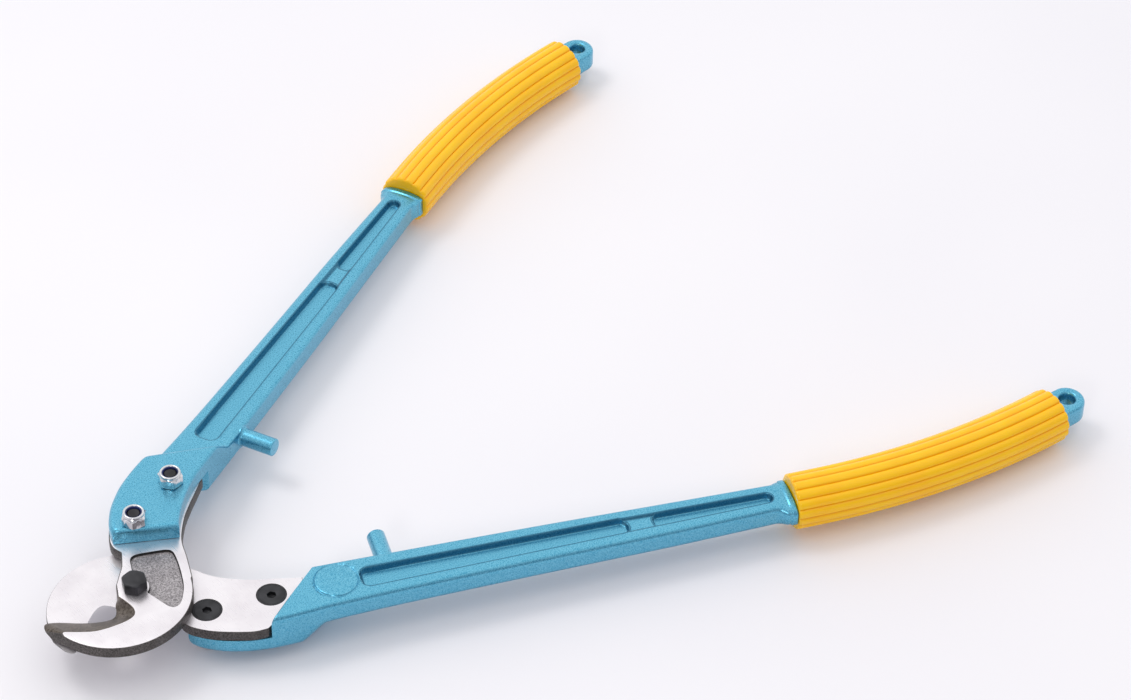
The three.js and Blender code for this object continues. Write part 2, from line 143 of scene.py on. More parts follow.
def inset(outline: Array, distance: float) -> Array:
    """Moves a closed outline inwards.

    Each point goes along the normal of the line between its two neighbours. An anticlockwise
    outline has its inside on the left of its direction of travel.

    Args:
        outline: the closed outline, one row per point.
        distance: how far it moves, and negative moves it outwards.

    Returns:
        The moved outline.
    """
    along = np.roll(outline, -1, axis=0) - np.roll(outline, 1, axis=0)
    along /= np.maximum(np.linalg.norm(along, axis=1, keepdims=True), 1e-9)
    left = np.column_stack([-along[:, 1], along[:, 0]])
    return outline + left * distance * np.sign(signed_area(outline))


def signed_area(outline: Array) -> float:
    """Area of a closed outline, positive when it runs anticlockwise."""
    x, y = outline.T
    return float(np.sum(x * np.roll(y, -1) - y * np.roll(x, -1)) / 2)


def softened(outline: Array, spacing: float, passes: int) -> Array:
    """Rounds the corners of a closed outline.

    The outline is cut into equal steps, and then every point is replaced again and again by half
    of itself plus a quarter of each neighbour.

    Args:
        outline: the closed outline.
        spacing: length of a step.
        passes: how many times the points are averaged. More passes give rounder corners.

    Returns:
        The outline as equally spaced points.
    """
    loop = np.vstack([outline, outline[:1]])
    length = np.concatenate([[0], np.cumsum(np.linalg.norm(np.diff(loop, axis=0), axis=1))])
    at = np.linspace(0, length[-1], int(length[-1] / spacing), endpoint=False)
    points = np.column_stack([np.interp(at, length, loop[:, 0]), np.interp(at, length, loop[:, 1])])
    for _ in range(passes):
        points = points / 2 + (np.roll(points, 1, axis=0) + np.roll(points, -1, axis=0)) / 4
    return points


def at_height(outline: Array, z: float) -> Array:
    """Lifts a flat outline to a height."""
    return np.column_stack([outline, np.full(len(outline), z)])


def smooth(t: Array) -> Array:
    """Rises from 0 to 1 with level ends: three t squared less two t cubed, held outside 0 to 1."""
    t = np.clip(t, 0, 1)
    return t * t * (3 - 2 * t)


def round_drop(distance: Array, radius: float) -> Array:
    """How far a rounded edge lies below its flat face, at a distance in from the edge.

    The edge is a quarter circle, so the drop is the radius less the square root of the radius
    squared less the square of what is left of the radius.

    Args:
        distance: distances in from the edge.
        radius: radius of the rounding.

    Returns:
        The drops, which are zero from one radius inwards.
    """
    left = radius - np.clip(distance, 0, radius)
    return radius - np.sqrt(np.maximum(radius**2 - left**2, 0))


def distance_past(point: Array, start: Pair, end: Pair) -> Array:
    """Signed distance from a line in plan, positive on the grip's side of it.

    Args:
        point: points, with x and y in the last axis.
        start: the end of the line on the handle's inner side.
        end: the end of the line on its outer side.

    Returns:
        The distances.
    """
    along = np.subtract(end, start)
    along = along / np.linalg.norm(along)
    away = np.array([along[1], -along[0]])
    return (point - np.asarray(start)) @ away


# ---- Meshes -------------------------------------------------------------------------------------


@dataclass
class Patch:
    """Part of a surface: points in millimetres, faces, the index of its finish, and its painted
    shade.

    The painted shade is a share for each point, by which its colour is darkened for shade that
    falls there; it is 1 in the bottom of an inner corner.
    """

    points: Array
    faces: list[list[int]]
    finish: int = 0
    painted_shade: Array | None = None


def strip(rings: Array, closed: bool = False, finish: int = 0,
          painted_shade: Array | None = None) -> Patch:
    """Skins rings that hold the same number of points with quads.

    Point i of a ring is joined to point i of the next ring and to its own neighbour.

    Args:
        rings: rings by points by xyz.
        closed: True when the last ring is joined to the first one.
        finish: index of the patch's finish.
        painted_shade: share of painted shade at each point, rings by points.

    Returns:
        The patch, with open ends unless it is closed.
    """
    rows, columns = rings.shape[:2]
    first_rows = np.arange(rows if closed else rows - 1)
    row, column = np.meshgrid(first_rows, np.arange(columns), indexing="ij")
    following, beside = (row + 1) % rows, (column + 1) % columns
    quads = np.stack([row * columns + column, row * columns + beside,
                      following * columns + beside, following * columns + column], axis=-1)
    return Patch(rings.reshape(-1, 3), quads.reshape(-1, 4).tolist(), finish,
                 None if painted_shade is None else painted_shade.ravel())


def lid(ring: Array, reverse: bool = False, finish: int = 0) -> Patch:
    """Closes a ring with one flat face that turns the same way round, or the other."""
    order = list(range(len(ring)))
    return Patch(ring, [order[::-1] if reverse else order], finish)


def skin(rings: Array, painted_shade: Array | None = None) -> list[Patch]:
    """A closed solid: quads between the rings and a flat lid on the first and on the last."""
    return [strip(rings, painted_shade=painted_shade), lid(rings[0], True), lid(rings[-1])]


def inside(points: Array, outline: Array) -> Array:
    """Even-odd test of points against a closed outline.

    A point is inside when a ray towards +X crosses the outline an odd number of times.

    Args:
        points: points to test, one row each.
        outline: the closed outline.

    Returns:
        True for each point inside.
    """
    x, y = points[:, :1], points[:, 1:]
    ax, ay = outline.T
    bx, by = np.roll(outline, -1, axis=0).T
    straddles = (ay > y) != (by > y)
    safe = np.where(by == ay, 1e-12, by - ay)
    crossing = ax + (y - ay) / safe * (bx - ax)
    return np.sum(straddles & (x < crossing), axis=1) % 2 == 1


def flat_face(outline: Array, holes: list[Array], z: float, up: bool, finish: int) -> Patch:
    """Fills a flat face between its outline and its holes with triangles.

    Args:
        outline: outer outline in plan.
        holes: outlines of the holes.
        z: height of the face.
        up: True when the face looks towards +Z.
        finish: index of the patch's finish.

    Returns:
        The filled face.
    """
    loops = [outline, *holes]
    starts = np.cumsum([0, *map(len, loops)])
    edges = [(int(s) + i, int(s) + (i + 1) % len(loop)) for s, loop in zip(starts, loops)
             for i in range(len(loop))]
    corners = [Vector(p) for p in np.vstack(loops)]
    points, _, triangles, *_ = delaunay_2d_cdt(corners, edges, [], 0, 1e-6)
    points, triangles = np.array(points, float)[:, :2], np.array(triangles)
    middle = points[triangles].mean(axis=1)
    kept = inside(middle, outline)
    for hole in holes:
        kept &= ~inside(middle, hole)
    a, b, c = (points[triangles[:, i]] for i in range(3))
    turns_left = (b - a)[:, 0] * (c - a)[:, 1] - (b - a)[:, 1] * (c - a)[:, 0] > 0
    triangles = np.where((turns_left == up)[:, None], triangles, triangles[:, ::-1])
    return Patch(at_height(points, z), triangles[kept].tolist(), finish)


def hexagon_radius(columns: int, across_flats: float, turn: float) -> Array:
    """Radius of a hexagon in each of the equal steps of a full turn.

    It is half the distance across the flats over the cosine of the angle from the nearest flat's
    middle.

    Args:
        columns: number of steps.
        across_flats: size of the hexagon.
        turn: angle of the middle of one flat, in radians.

    Returns:
        The radii.
    """
    angle = np.linspace(0, FULL_TURN, columns, endpoint=False)
    from_flat = (angle - turn + np.pi / 6) % (np.pi / 3) - np.pi / 6
    return across_flats / 2 / np.cos(from_flat)


def about_z(radius: Array, height: Array) -> Array:
    """Rings about Z, as rings by points by xyz, from the points' radii and the rings' heights."""
    angle = np.linspace(0, FULL_TURN, radius.shape[1], endpoint=False)
    height = np.repeat(height[:, None], radius.shape[1], axis=1)
    return np.stack([radius * np.cos(angle), radius * np.sin(angle), height], axis=-1)


def turned(profile: Array, across_flats: float | None = None, turn: float = 0.0,
           columns: int = 72) -> Array:
    """Rings of a turned surface about Z, clipped by a hexagonal prism where one is given.

    Args:
        profile: radius and height of each ring.
        across_flats: size of the hexagon, or None for a round piece.
        turn: angle of the middle of one flat, in radians.
        columns: points in a ring.

    Returns:
        Rings by points by xyz.
    """
    radius = np.repeat(profile[:, :1], columns, axis=1)
    if across_flats is not None:
        radius = np.minimum(radius, hexagon_radius(columns, across_flats, turn))
    return about_z(radius, profile[:, 1])


def hex_rings(profile: Array, across_flats: float, columns: int = 72) -> Array:
    """Rings that follow a hexagon: the profile's radius is a share of the hexagon's own radius."""
    return about_z(profile[:, :1] * hexagon_radius(columns, across_flats, 0.0), profile[:, 1])


def fillet(corner: Pair, radius: float, start: float, steps: int = 5) -> Array:
    """A quarter circle of a profile, from the start angle on, about a centre at the corner."""
    return arc(corner, radius, start, start + QUARTER_TURN, steps)


def make_piece(name: str, patches: list[Patch], place: Place, finishes: list[Material],
               sharp: float = 38.0) -> bpy.types.Object:
    """Welds patches into one closed mesh object.

    The faces are turned over together when the mesh encloses a negative volume.

    Args:
        name: name of the piece.
        patches: its surface, in the half's own frame.
        place: moves points from there to the part's frame, in metres.
        finishes: one material for each finish index of the patches.
        sharp: edges that turn by more than this many degrees stay sharp.

    Returns:
        The object, at the origin, with its place in its mesh.
    """
    starts = np.cumsum([0, *(len(p.points) for p in patches)])
    points = place(np.vstack([p.points for p in patches]))
    faces = [[i + int(s) for i in face] for p, s in zip(patches, starts) for face in p.faces]
    mesh = bpy.data.meshes.new(name)
    mesh.from_pydata(points.tolist(), [], faces)
    # Each point's share of painted shade is kept as a point attribute, which the materials darken
    # their colour by.
    painted_shade = mesh.attributes.new(PAINTED_SHADE, "FLOAT", "POINT")
    painted_shades = [np.zeros(len(p.points)) if p.painted_shade is None else p.painted_shade for p in patches]
    painted_shade.data.foreach_set("value", np.concatenate(painted_shades).astype(np.float32))
    mesh.polygons.foreach_set("material_index", np.repeat([p.finish for p in patches],
                                                          [len(p.faces) for p in patches]))
    work = bmesh.new()
    work.from_mesh(mesh)
    bmesh.ops.remove_doubles(work, verts=work.verts, dist=WELD)
    bmesh.ops.dissolve_degenerate(work, edges=work.edges, dist=SLIVER)
    if work.calc_volume(signed=True) < 0:
        bmesh.ops.reverse_faces(work, faces=work.faces)
    work.to_mesh(mesh)
    open_edges = sum(not edge.is_manifold for edge in work.edges)
    work.free()
    mesh.polygons.foreach_set("use_smooth", np.ones(len(mesh.polygons), bool))
    mesh.set_sharp_from_angle(angle=np.radians(sharp))
    for finish in finishes:
        mesh.materials.append(finish)
    piece = bpy.data.objects.new(name, mesh)
    bpy.context.scene.collection.objects.link(piece)
    LOG.info("%s: %d faces, %d open edges", name, len(mesh.polygons), open_edges)
    return piece


@dataclass(frozen=True)
class HalfFrame:
    """Puts points that are drawn in a half's own frame where the frame holds that half."""

    pivot_x: float
    shear_z: float
    half_opening: float = np.radians(23.44)

    @classmethod
    def from_frame(cls) -> "HalfFrame":
        """Reads the pivot axis and the shear plane off the pivot bolt and the two blades."""
        low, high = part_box("pivot_bolt")
        shear = (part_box("upper_blade")[0].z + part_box("lower_blade")[1].z) / 2
        return cls((low.x + high.x) / 2, shear)

    def place(self, side: Side) -> Place:
        """The function that moves points of one half from millimetres to the part's frame."""
        c, s = np.cos(self.half_opening), np.sin(self.half_opening)
        turn = np.array([[c, -s, 0], [s, c, 0], [0, 0, 1]])
        if side is Side.LOWER:
            turn = np.diag([1, -1, -1]) @ turn
        return lambda points: points @ turn.T * MM + self.origin

    def place_on_pivot(self, over: bool) -> Place:
        """The same for pieces on the pivot axis, turned over when they stand under the blades."""
        turn = np.diag([1, -1, -1]) if over else np.eye(3)
        return lambda points: points @ turn.T * MM + self.origin

    @property
    def origin(self) -> Array:
        """The point on the pivot axis in the shear plane, in metres."""
        return np.array([self.pivot_x, 0, self.shear_z])


def offset(place: Place, x: float, y: float) -> Place:
    """Draws a piece about its own axis at a point of the half's plan."""
    return lambda points: place(points + np.array([x, y, 0]))


def finish_piece(piece: bpy.types.Object, body: str, slot: str, *nodes: str) -> None:
    """Ties a piece to its CAD body and hides the CAD nodes that it stands for."""
    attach(piece, body)
    if nodes:
        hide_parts(*nodes)


# ---- Finishes -----------------------------------------------------------------------------------


def linear(hex_colour: str) -> tuple[float, float, float, float]:
    """Turns an sRGB hex colour into linear light, with alpha 1."""
    srgb = np.array([int(hex_colour[i:i + 2], 16) / 255 for i in (1, 3, 5)])
    light = np.where(srgb <= 0.04045, srgb / 12.92, ((srgb + 0.055) / 1.055) ** 2.4)
    return (*map(float, light), 1.0)


def add(tree: Tree, kind: str, links: dict | None = None,
        **settings: object) -> bpy.types.Node:
    """Adds a node with its settings and links.

    Args:
        tree: the tree that it joins.
        kind: type name of the node.
        links: input name or number to the output socket that feeds it, or to a plain value.
        **settings: properties of the node.

    Returns:
        The node.
    """
    node = tree.nodes.new(kind)
    for name, value in settings.items():
        setattr(node, name, value)
    for key, value in (links or {}).items():
        if isinstance(value, Socket):
            tree.links.new(value, node.inputs[key])
        else:
            node.inputs[key].default_value = value
    return node


def start_material(name: str) -> tuple[Material, Tree, Socket]:
    """An empty node material with its object coordinates: the material, its tree and the socket."""
    material = bpy.data.materials.new(name)
    material.use_nodes = True
    material.node_tree.nodes.clear()
    where = add(material.node_tree, "ShaderNodeTexCoord").outputs["Object"]
    return material, material.node_tree, where


def end_material(tree: Tree, inputs: dict) -> None:
    """Adds the surface shader with these inputs, and the output."""
    shader = add(tree, "ShaderNodeBsdfPrincipled", inputs)
    add(tree, "ShaderNodeOutputMaterial", {"Surface": shader.outputs[0]})


def grains(tree: Tree, where: Socket, size_mm: float, detail: float = 2.0,
           roughness: float = 0.5) -> Socket:
    """Noise whose grains have a real size: the scale is one over that size in metres."""
    return add(tree, "ShaderNodeTexNoise", {
        "Vector": where, "Scale": 1 / (size_mm * MM), "Detail": detail, "Roughness": roughness,
    }).outputs["Fac"]


def spread(tree: Tree, value: Socket, low: float, high: float, to_low: float = 0.0,
           to_high: float = 1.0) -> Socket:
    """Maps a stretch of a value onto another one, and holds it there."""
    return add(tree, "ShaderNodeMapRange", {
        0: value, 1: low, 2: high, 3: to_low, 4: to_high,
    }).outputs["Result"]


def mix_into(tree: Tree, share: Socket, base: Socket | tuple, colour: str) -> Socket:
    """Mixes a hex colour into another colour by a share: the node's sixth and seventh inputs."""
    return add(tree, "ShaderNodeMix", {0: share, 6: base, 7: linear(colour)},
               data_type="RGBA").outputs[2]


def blend_colours(tree: Tree, share: Socket, first: str, second: str) -> Socket:
    """Mixes two hex colours by a share."""
    return mix_into(tree, share, linear(first), second)


def bump(tree: Tree, height: Socket, depth_mm: float, strength: float = 1.0,
         under: Socket | None = None) -> Socket:
    """A bump of a real depth, on top of another one where it is given."""
    links = {"Height": height, "Distance": depth_mm * MM, "Strength": strength}
    if under is not None:
        links["Normal"] = under
    return add(tree, "ShaderNodeBump", links).outputs["Normal"]


@dataclass(frozen=True)
class FlakePaint:
    """Sprayed sky-blue metallic lacquer on an aluminium casting.

    Flakes in the lacquer make it glitter in fine light and dark specks, and the sand-cast skin
    below it shows as a soft orange peel. The real flakes are about 0.1 mm: they are drawn at
    0.7 mm, the finest that shows.
    """

    light: str = "#76c0da"
    dark: str = "#479cbd"
    # Dark blue of the painted shade on the channels' walls and the rim edges above them.
    painted_shade: str = "#0f4f70"
    flake_mm: float = 0.7
    peel_mm: float = 2.6

    def build(self) -> Material:
        """Makes the material."""
        material, tree, where = start_material("metallic_lacquer_on_casting")
        flakes = grains(tree, where, self.flake_mm, 1.0, 0.6)
        clouds = grains(tree, where, 14.0, 2.0)
        base = blend_colours(tree, spread(tree, flakes, 0.34, 0.66), self.dark, self.light)
        shade = spread(tree, clouds, 0.3, 0.7, 0.0, 0.14)
        clouded = mix_into(tree, shade, base, self.dark)
        # Painted shade: on the channels' walls and the rim edges above them the colour goes towards
        # a dark blue, by each point's share, for the shade that falls there.
        corner = add(tree, "ShaderNodeAttribute", attribute_name=PAINTED_SHADE).outputs["Fac"]
        peel = bump(tree, grains(tree, where, self.peel_mm, 2.0), 0.1, 0.4)
        end_material(tree, {
            "Base Color": mix_into(tree, corner, clouded, self.painted_shade),
            "Metallic": 0.88,
            "Roughness": spread(tree, flakes, 0.3, 0.7, 0.26, 0.36),
            "Coat Weight": 0.25,
            "Coat Roughness": 0.16,
            "Normal": bump(tree, flakes, 0.02, 0.3, peel),
        })
        return material


@dataclass(frozen=True)
class MouldedVinyl:
    """Dip-moulded yellow PVC: glossy, soft, a little deeper in colour where it is thick."""

    light: str = "#ffc900"
    deep: str = "#ffc000"
    # Deeper orange of the painted shade between the ribs.
    painted_shade: str = "#f7a800"

    def build(self) -> Material:
        """Makes the material."""
        material, tree, where = start_material("moulded_yellow_pvc")
        clouds = grains(tree, where, 22.0, 3.0)
        skin_grain = grains(tree, where, 1.6, 3.0, 0.6)
        base = blend_colours(tree, spread(tree, clouds, 0.35, 0.65), self.light, self.deep)
        # Painted shade: between two ribs the colour goes towards a deeper orange, for the shade
        # that falls in the valleys.
        valley = add(tree, "ShaderNodeAttribute", attribute_name=PAINTED_SHADE).outputs["Fac"]
        end_material(tree, {
            "Base Color": mix_into(tree, valley, base, self.painted_shade),
            "Roughness": spread(tree, skin_grain, 0.3, 0.7, 0.18, 0.26),
            "IOR": 1.46,
            "Normal": bump(tree, skin_grain, 0.012, 0.15),
        })
        return material


@dataclass(frozen=True)
class GroundSteel:
    """Surface-ground tool steel: bright, with fine wheel marks along one direction.

    The marks of a 60-grit wheel are about 0.25 mm apart and are drawn at 0.6 mm.
    """

    light: str = "#eeeaee"
    dark: str = "#e2dde2"
    mark_mm: float = 0.6

    def build(self) -> Material:
        """Makes the material."""
        material, tree, where = start_material("surface_ground_steel")
        along = add(tree, "ShaderNodeMapping", {"Vector": where, "Scale": (1.0, 0.06, 1.0),
                                                "Rotation": (0, 0, np.radians(34))}).outputs[0]
        marks = grains(tree, along, self.mark_mm, 2.0, 0.6)
        cloudy = spread(tree, grains(tree, where, 16.0, 3.0), 0.35, 0.7)
        end_material(tree, {
            "Base Color": blend_colours(tree, cloudy, self.light, self.dark),
            "Metallic": 0.85,
            "Roughness": spread(tree, marks, 0.3, 0.7, 0.26, 0.36),
            "Normal": bump(tree, marks, 0.006, 0.2),
        })
        return material


@dataclass(frozen=True)
class ForgedSteel:
    """Hot-forged steel as it leaves the die: dull brown-grey scale with a coarse grain."""

    name: str
    light: str
    dark: str
    grain_mm: float
    depth_mm: float
    metallic: float
    roughness: float

    def build(self) -> Material:
        """Makes the material."""
        material, tree, where = start_material(self.name)
        grain = grains(tree, where, self.grain_mm, 3.0, 0.65)
        patches = grains(tree, where, 9.0, 2.0)
        speckle = spread(tree, grain, 0.36, 0.64)
        base = blend_colours(tree, speckle, self.dark, self.light)
        share = spread(tree, patches, 0.35, 0.75, 0.0, 0.4)
        low, high = self.roughness - 0.08, self.roughness + 0.08
        end_material(tree, {
            "Base Color": mix_into(tree, share, base, self.dark),
            "Metallic": self.metallic,
            "Roughness": spread(tree, grain, 0.3, 0.7, low, high),
            "Normal": bump(tree, grain, self.depth_mm, 0.8),
        })
        return material


@dataclass(frozen=True)
class SmoothMetal:
    """A small steel fastener with a thin even coat, such as black oxide or bright zinc."""

    name: str
    light: str
    dark: str
    metallic: float
    roughness: float
    grain_mm: float = 0.5

    def build(self) -> Material:
        """Makes the material."""
        material, tree, where = start_material(self.name)
        grain = grains(tree, where, self.grain_mm, 2.0, 0.6)
        cloudy = spread(tree, grains(tree, where, 6.0, 1.0), 0.3, 0.7)
        low, high = self.roughness - 0.05, self.roughness + 0.07
        end_material(tree, {
            "Base Color": blend_colours(tree, cloudy, self.dark, self.light),
            "Metallic": self.metallic,
            "Roughness": spread(tree, grain, 0.3, 0.7, low, high),
            "Normal": bump(tree, grain, 0.006, 0.2),
        })
        return material


@dataclass(frozen=True)
class BackdropPaper:
    """Matt white background paper, faintly clouded where it has been handled."""

    light: str = "#f3f1f5"
    dark: str = "#efedf2"

    def build(self) -> Material:
        """Makes the material."""
        material, tree, where = start_material("matt_white_paper")
        cloudy = spread(tree, grains(tree, where, 420.0, 2.0), 0.35, 0.65)
        end_material(tree, {
            "Base Color": blend_colours(tree, cloudy, self.light, self.dark),
            "Roughness": 0.85,
        })
        return material


@dataclass(frozen=True)
class Finishes:
    """Every material of the object, made once."""

    paint: Material
    vinyl: Material
    ground: Material
    forged: Material
    blasted: Material
    bevel: Material
    scale: Material
    oxide: Material
    zinc: Material
    nylon: Material

    @classmethod
    def build(cls) -> "Finishes":
        """Makes all of them."""
        return cls(
            paint=FlakePaint().build(),
            vinyl=MouldedVinyl().build(),
            ground=GroundSteel().build(),
            # The forged rim keeps its dark scale.
            forged=ForgedSteel(
                "forged_rim_scale", "#6f6a68", "#2c2827", 0.9, 0.2, 0.6, 0.46).build(),
            # The recess is shot-blasted: lighter, with an even sparkle.
            blasted=ForgedSteel(
                "shot_blasted_recess", "#c2bdc0", "#6d696c", 0.8, 0.18, 0.7, 0.4).build(),
            # The jaw's bevel is rough-ground and oiled, so it is smoother and browner.
            bevel=ForgedSteel(
                "rough_ground_bevel", "#7d746c", "#453d37", 1.4, 0.05, 0.85, 0.34).build(),
            # Nothing reaches the recess's steep wall, which stays black from the furnace.
            scale=ForgedSteel(
                "furnace_black_wall", "#3a3634", "#161413", 0.6, 0.1, 0.4, 0.5).build(),
            oxide=SmoothMetal("black_oxide_steel", "#3c3c40", "#29292c", 0.6, 0.36).build(),
            zinc=SmoothMetal("bright_zinc_plate", "#dcdde0", "#cfd0d4", 1.0, 0.17).build(),
            nylon=SmoothMetal("dark_blue_nylon", "#2c3a78", "#1a2450", 0.0, 0.45).build(),
        )


@dataclass(frozen=True)
class Half:
    """One half of the tool while it is built: its side, its place in the frame, the finishes."""

    side: Side
    place: Place
    finishes: Finishes

    def node(self, name: str) -> str:
        """The name that one of this half's pieces, nodes or bodies has."""
        return f"{self.side.value}_{name}"

    def add(self, name: str, patches: list[Patch], materials: list[Material], slot: str,
            node: str = "", at: Pair = (0.0, 0.0), sharp: float = 38.0) -> None:
        """Adds a piece that rides on this half.

        Args:
            name: name of the piece, without the side.
            patches: its surface.
            materials: one material for each finish index of the patches.
            slot: its material slot, which is passed on and not used.
            node: the CAD node that it stands for, without the side, or nothing.
            at: where its own axis stands in the half's plan.
            sharp: edges that turn by more than this many degrees stay sharp.
        """
        piece = make_piece(self.node(name), patches, offset(self.place, *at), materials, sharp)
        finish_piece(piece, self.node("half"), slot, *([self.node(node)] if node else []))


# ---- Blade --------------------------------------------------------------------------------------


class Steel(Enum):
    """The finish of each part of a blade's surface, by its place in the list of materials."""

    GROUND = 0
    FORGED = 1
    BLASTED = 2
    BEVEL = 3
    SCALE = 4


@dataclass(frozen=True)
class Blade:
    """A forged hook blade, ground flat on both faces, with a recess in the outer face."""

    face: float = 0.15
    top: float = 7.2
    recess: float = 1.5
    recess_wall: float = 0.5
    edge: float = 0.5
    bolt_hole: float = 4.3
    screw_recess: float = 8.7
    screw_bore: float = 4.3
    screw_lip: float = 0.3
    screws: tuple[Pair, ...] = ((35.8, 21.2), (72.9, 19.6))
    boss: float = 8.1
    chamfer: float = 0.2
    swell: tuple[Pair, ...] = ((1.2, -0.05), (2.6, -0.15), (4.0, -0.2), (5.4, -0.12))
    jaw_steps: int = 64
    bevelled_tip_steps: int = 5
    hole_steps: int = 48

    def ring(self, share: float) -> Array:
        """The outline at a share of the way from the shear face to the outer face.

        The jaw runs along the cutting edge on the shear face and along the throat's edge on the
        outer face, and in between it is a straight mix of the two: a ruled bevel.

        Args:
            share: 0 on the shear face, 1 on the outer face.

        Returns:
            The closed outline. The jaw comes first, then the tip and the forged rim.
        """
        cutting = spline([[-7.6, 7.5], [-11.5, 6.2], [-15.6, 3.2], [-20, 2.2], [-25, 6],
                          [-31, 15.3], [-36.6, 27.5], [-40, 32.8]], self.jaw_steps)
        throat = spline([[-10.4, 4.5], [-12.2, -2.3], [-14.6, -7.7], [-18.4, -10.4], [-24, -9],
                         [-32.1, -3.6], [-38, 1.8], [-42, 8.2], [-46.2, 16.6]], self.jaw_steps)
        tip_low = spline([[-40, 32.8], [-42.6, 33.2], [-46.4, 29.6], [-50.4, 21.5]], 10)[1:]
        tip_high = spline([[-46.2, 16.6], [-47.4, 17.4], [-48.6, 17], [-50, 15]], 10)[1:]
        jaw = cutting + (throat - cutting) * share
        tip = tip_low + (tip_high - tip_low) * share
        return np.vstack([jaw, tip, self.rim()])

    def rim(self) -> Array:
        """The forged rim, from the tip round the back and the tail to the neck at the pivot."""
        back = arc((-8.6, 6.4), 42.3, np.pi * 0.96, np.pi * 1.74, 80)
        inner = spline([[21.1, -24.8], [34, -13.6], [44.6, -4], [58.8, 2.9], [69.6, 6.1],
                        [80.5, 8.5], [92.6, 11.2]], 48)[1:]
        tail = spline([[92.2, 13.8], [81.8, 26.6], [73.9, 35.6], [68.2, 42.2]], 12)
        outer = spline([[65.2, 44.6], [58, 44.9], [49.5, 43], [39, 39.6], [31.3, 36.1],
                        [24.2, 31.2], [20.8, 26.6]], 32)
        neck = spline([[19.9, 21.1], [11.2, 15.5], [4.5, 13], [-2.9, 10.4]], 20)
        return np.vstack([back, inner, tail, outer, neck])

    def recess_outline(self) -> Array:
        """Outline of the recess: round the pivot boss, along the shank and inside the rim."""
        boss = arc((0, 0), self.boss, -np.pi * 0.51, np.pi * 0.21, 30)
        shank = spline([[13.6, 10.8], [18, 14], [22.1, 13.2], [27.9, 7], [33.4, 0.2]], 24)
        rim = spline([[34.4, -2.4], [33.3, -5.4], [28.2, -11.1], [20.3, -18.3], [12.7, -24.1],
                      [3.5, -28.3], [-1, -28.9], [-3.8, -27]], 42)
        side = spline([[-4, -23.8], [-2.6, -17.8]], 6)
        return softened(chain(boss, shank, rim, side), 0.5, 6)

    def level(self, z: float, move_in: float) -> Array:
        """The outline at a height, moved in by a distance, as a ring."""
        share = (z - self.face) / (self.top - self.face)
        return at_height(inset(self.ring(share), move_in), z)

    def wall(self) -> list[Patch]:
        """The wall between the two faces, with a small chamfer below and a rounded edge above.

        In between the forging swells a little: a swell is a height and how far the wall moves in.
        The quads along the jaw get the ground bevel's finish and all others the forged one.
        """
        e, chamfer = self.edge, self.chamfer
        levels = [(self.face, chamfer), (self.face + chamfer, 0.0), *self.swell,
                  (self.top - e, 0.0), (self.top - 0.45 * e, 0.12 * e),
                  (self.top - 0.15 * e, 0.4 * e), (self.top, e)]
        rings = np.stack([self.level(z, move) for z, move in levels])
        whole = strip(rings, finish=Steel.FORGED.value)
        columns = rings.shape[1]
        jaw_columns = self.jaw_steps + 1 + self.bevelled_tip_steps
        is_jaw = np.tile(np.arange(columns) < jaw_columns, len(rings) - 1)
        quads = np.array(whole.faces)
        return [
            Patch(whole.points, quads[is_jaw].tolist(), Steel.BEVEL.value),
            Patch(whole.points, quads[~is_jaw].tolist(), Steel.FORGED.value),
        ]

    def bore(self, centre: Pair, profile: list[Pair]) -> Patch:
        """A round hole through the blade, given as radius and height of each ring."""
        rings = turned(np.array(profile), columns=self.hole_steps) + np.array([*centre, 0])
        return strip(rings, finish=Steel.FORGED.value)

    def hole(self, centre: Pair, radius: float) -> Array:
        """Outline of a round hole in a face, with the same points as its bore."""
        return arc(centre, radius, 0, FULL_TURN, self.hole_steps)[:-1]

    def patches(self) -> list[Patch]:
        """The blade's whole surface."""
        shear = self.level(self.face, self.chamfer)[:, :2]
        outer = self.level(self.top, self.edge)[:, :2]
        recess = self.recess_outline()
        drop = [(0.0, 0.0), (0.18, 0.06), (0.45, 0.2), (0.8, 0.5), (0.95, 0.8), (1.0, 1.0)]
        rings = np.stack([
            at_height(inset(recess, self.recess_wall * across), self.top - self.recess * down)
            for down, across in drop])
        floor = rings[-1][:, :2]
        wide, narrow = self.screw_recess, self.screw_bore
        lip = self.face + self.screw_lip
        sunk = [(wide, self.face), (wide, lip), (narrow, lip + wide - narrow), (narrow, self.top)]
        straight = [(self.bolt_hole, self.face), (self.bolt_hole, self.top)]
        circle = [self.hole(c, wide) for c in self.screws]
        circle_top = [self.hole(c, narrow) for c in self.screws]
        pivot = self.hole((0, 0), self.bolt_hole)
        return [
            *self.wall(),
            flat_face(shear, [*circle, pivot], self.face, False, Steel.GROUND.value),
            flat_face(outer, [recess, *circle_top, pivot], self.top, True, Steel.GROUND.value),
            strip(rings, finish=Steel.SCALE.value),
            flat_face(floor, [], self.top - self.recess, True, Steel.BLASTED.value),
            *(self.bore(c, sunk) for c in self.screws),
            self.bore((0, 0), straight),
        ]

    def build(self, half: Half) -> None:
        """Builds the blade of one half."""
        made = half.finishes
        steels = [made.ground, made.forged, made.blasted, made.bevel, made.scale]
        half.add("hook_blade", self.patches(), steels, "ground_steel", "blade", sharp=30)


# ---- Handle -------------------------------------------------------------------------------------


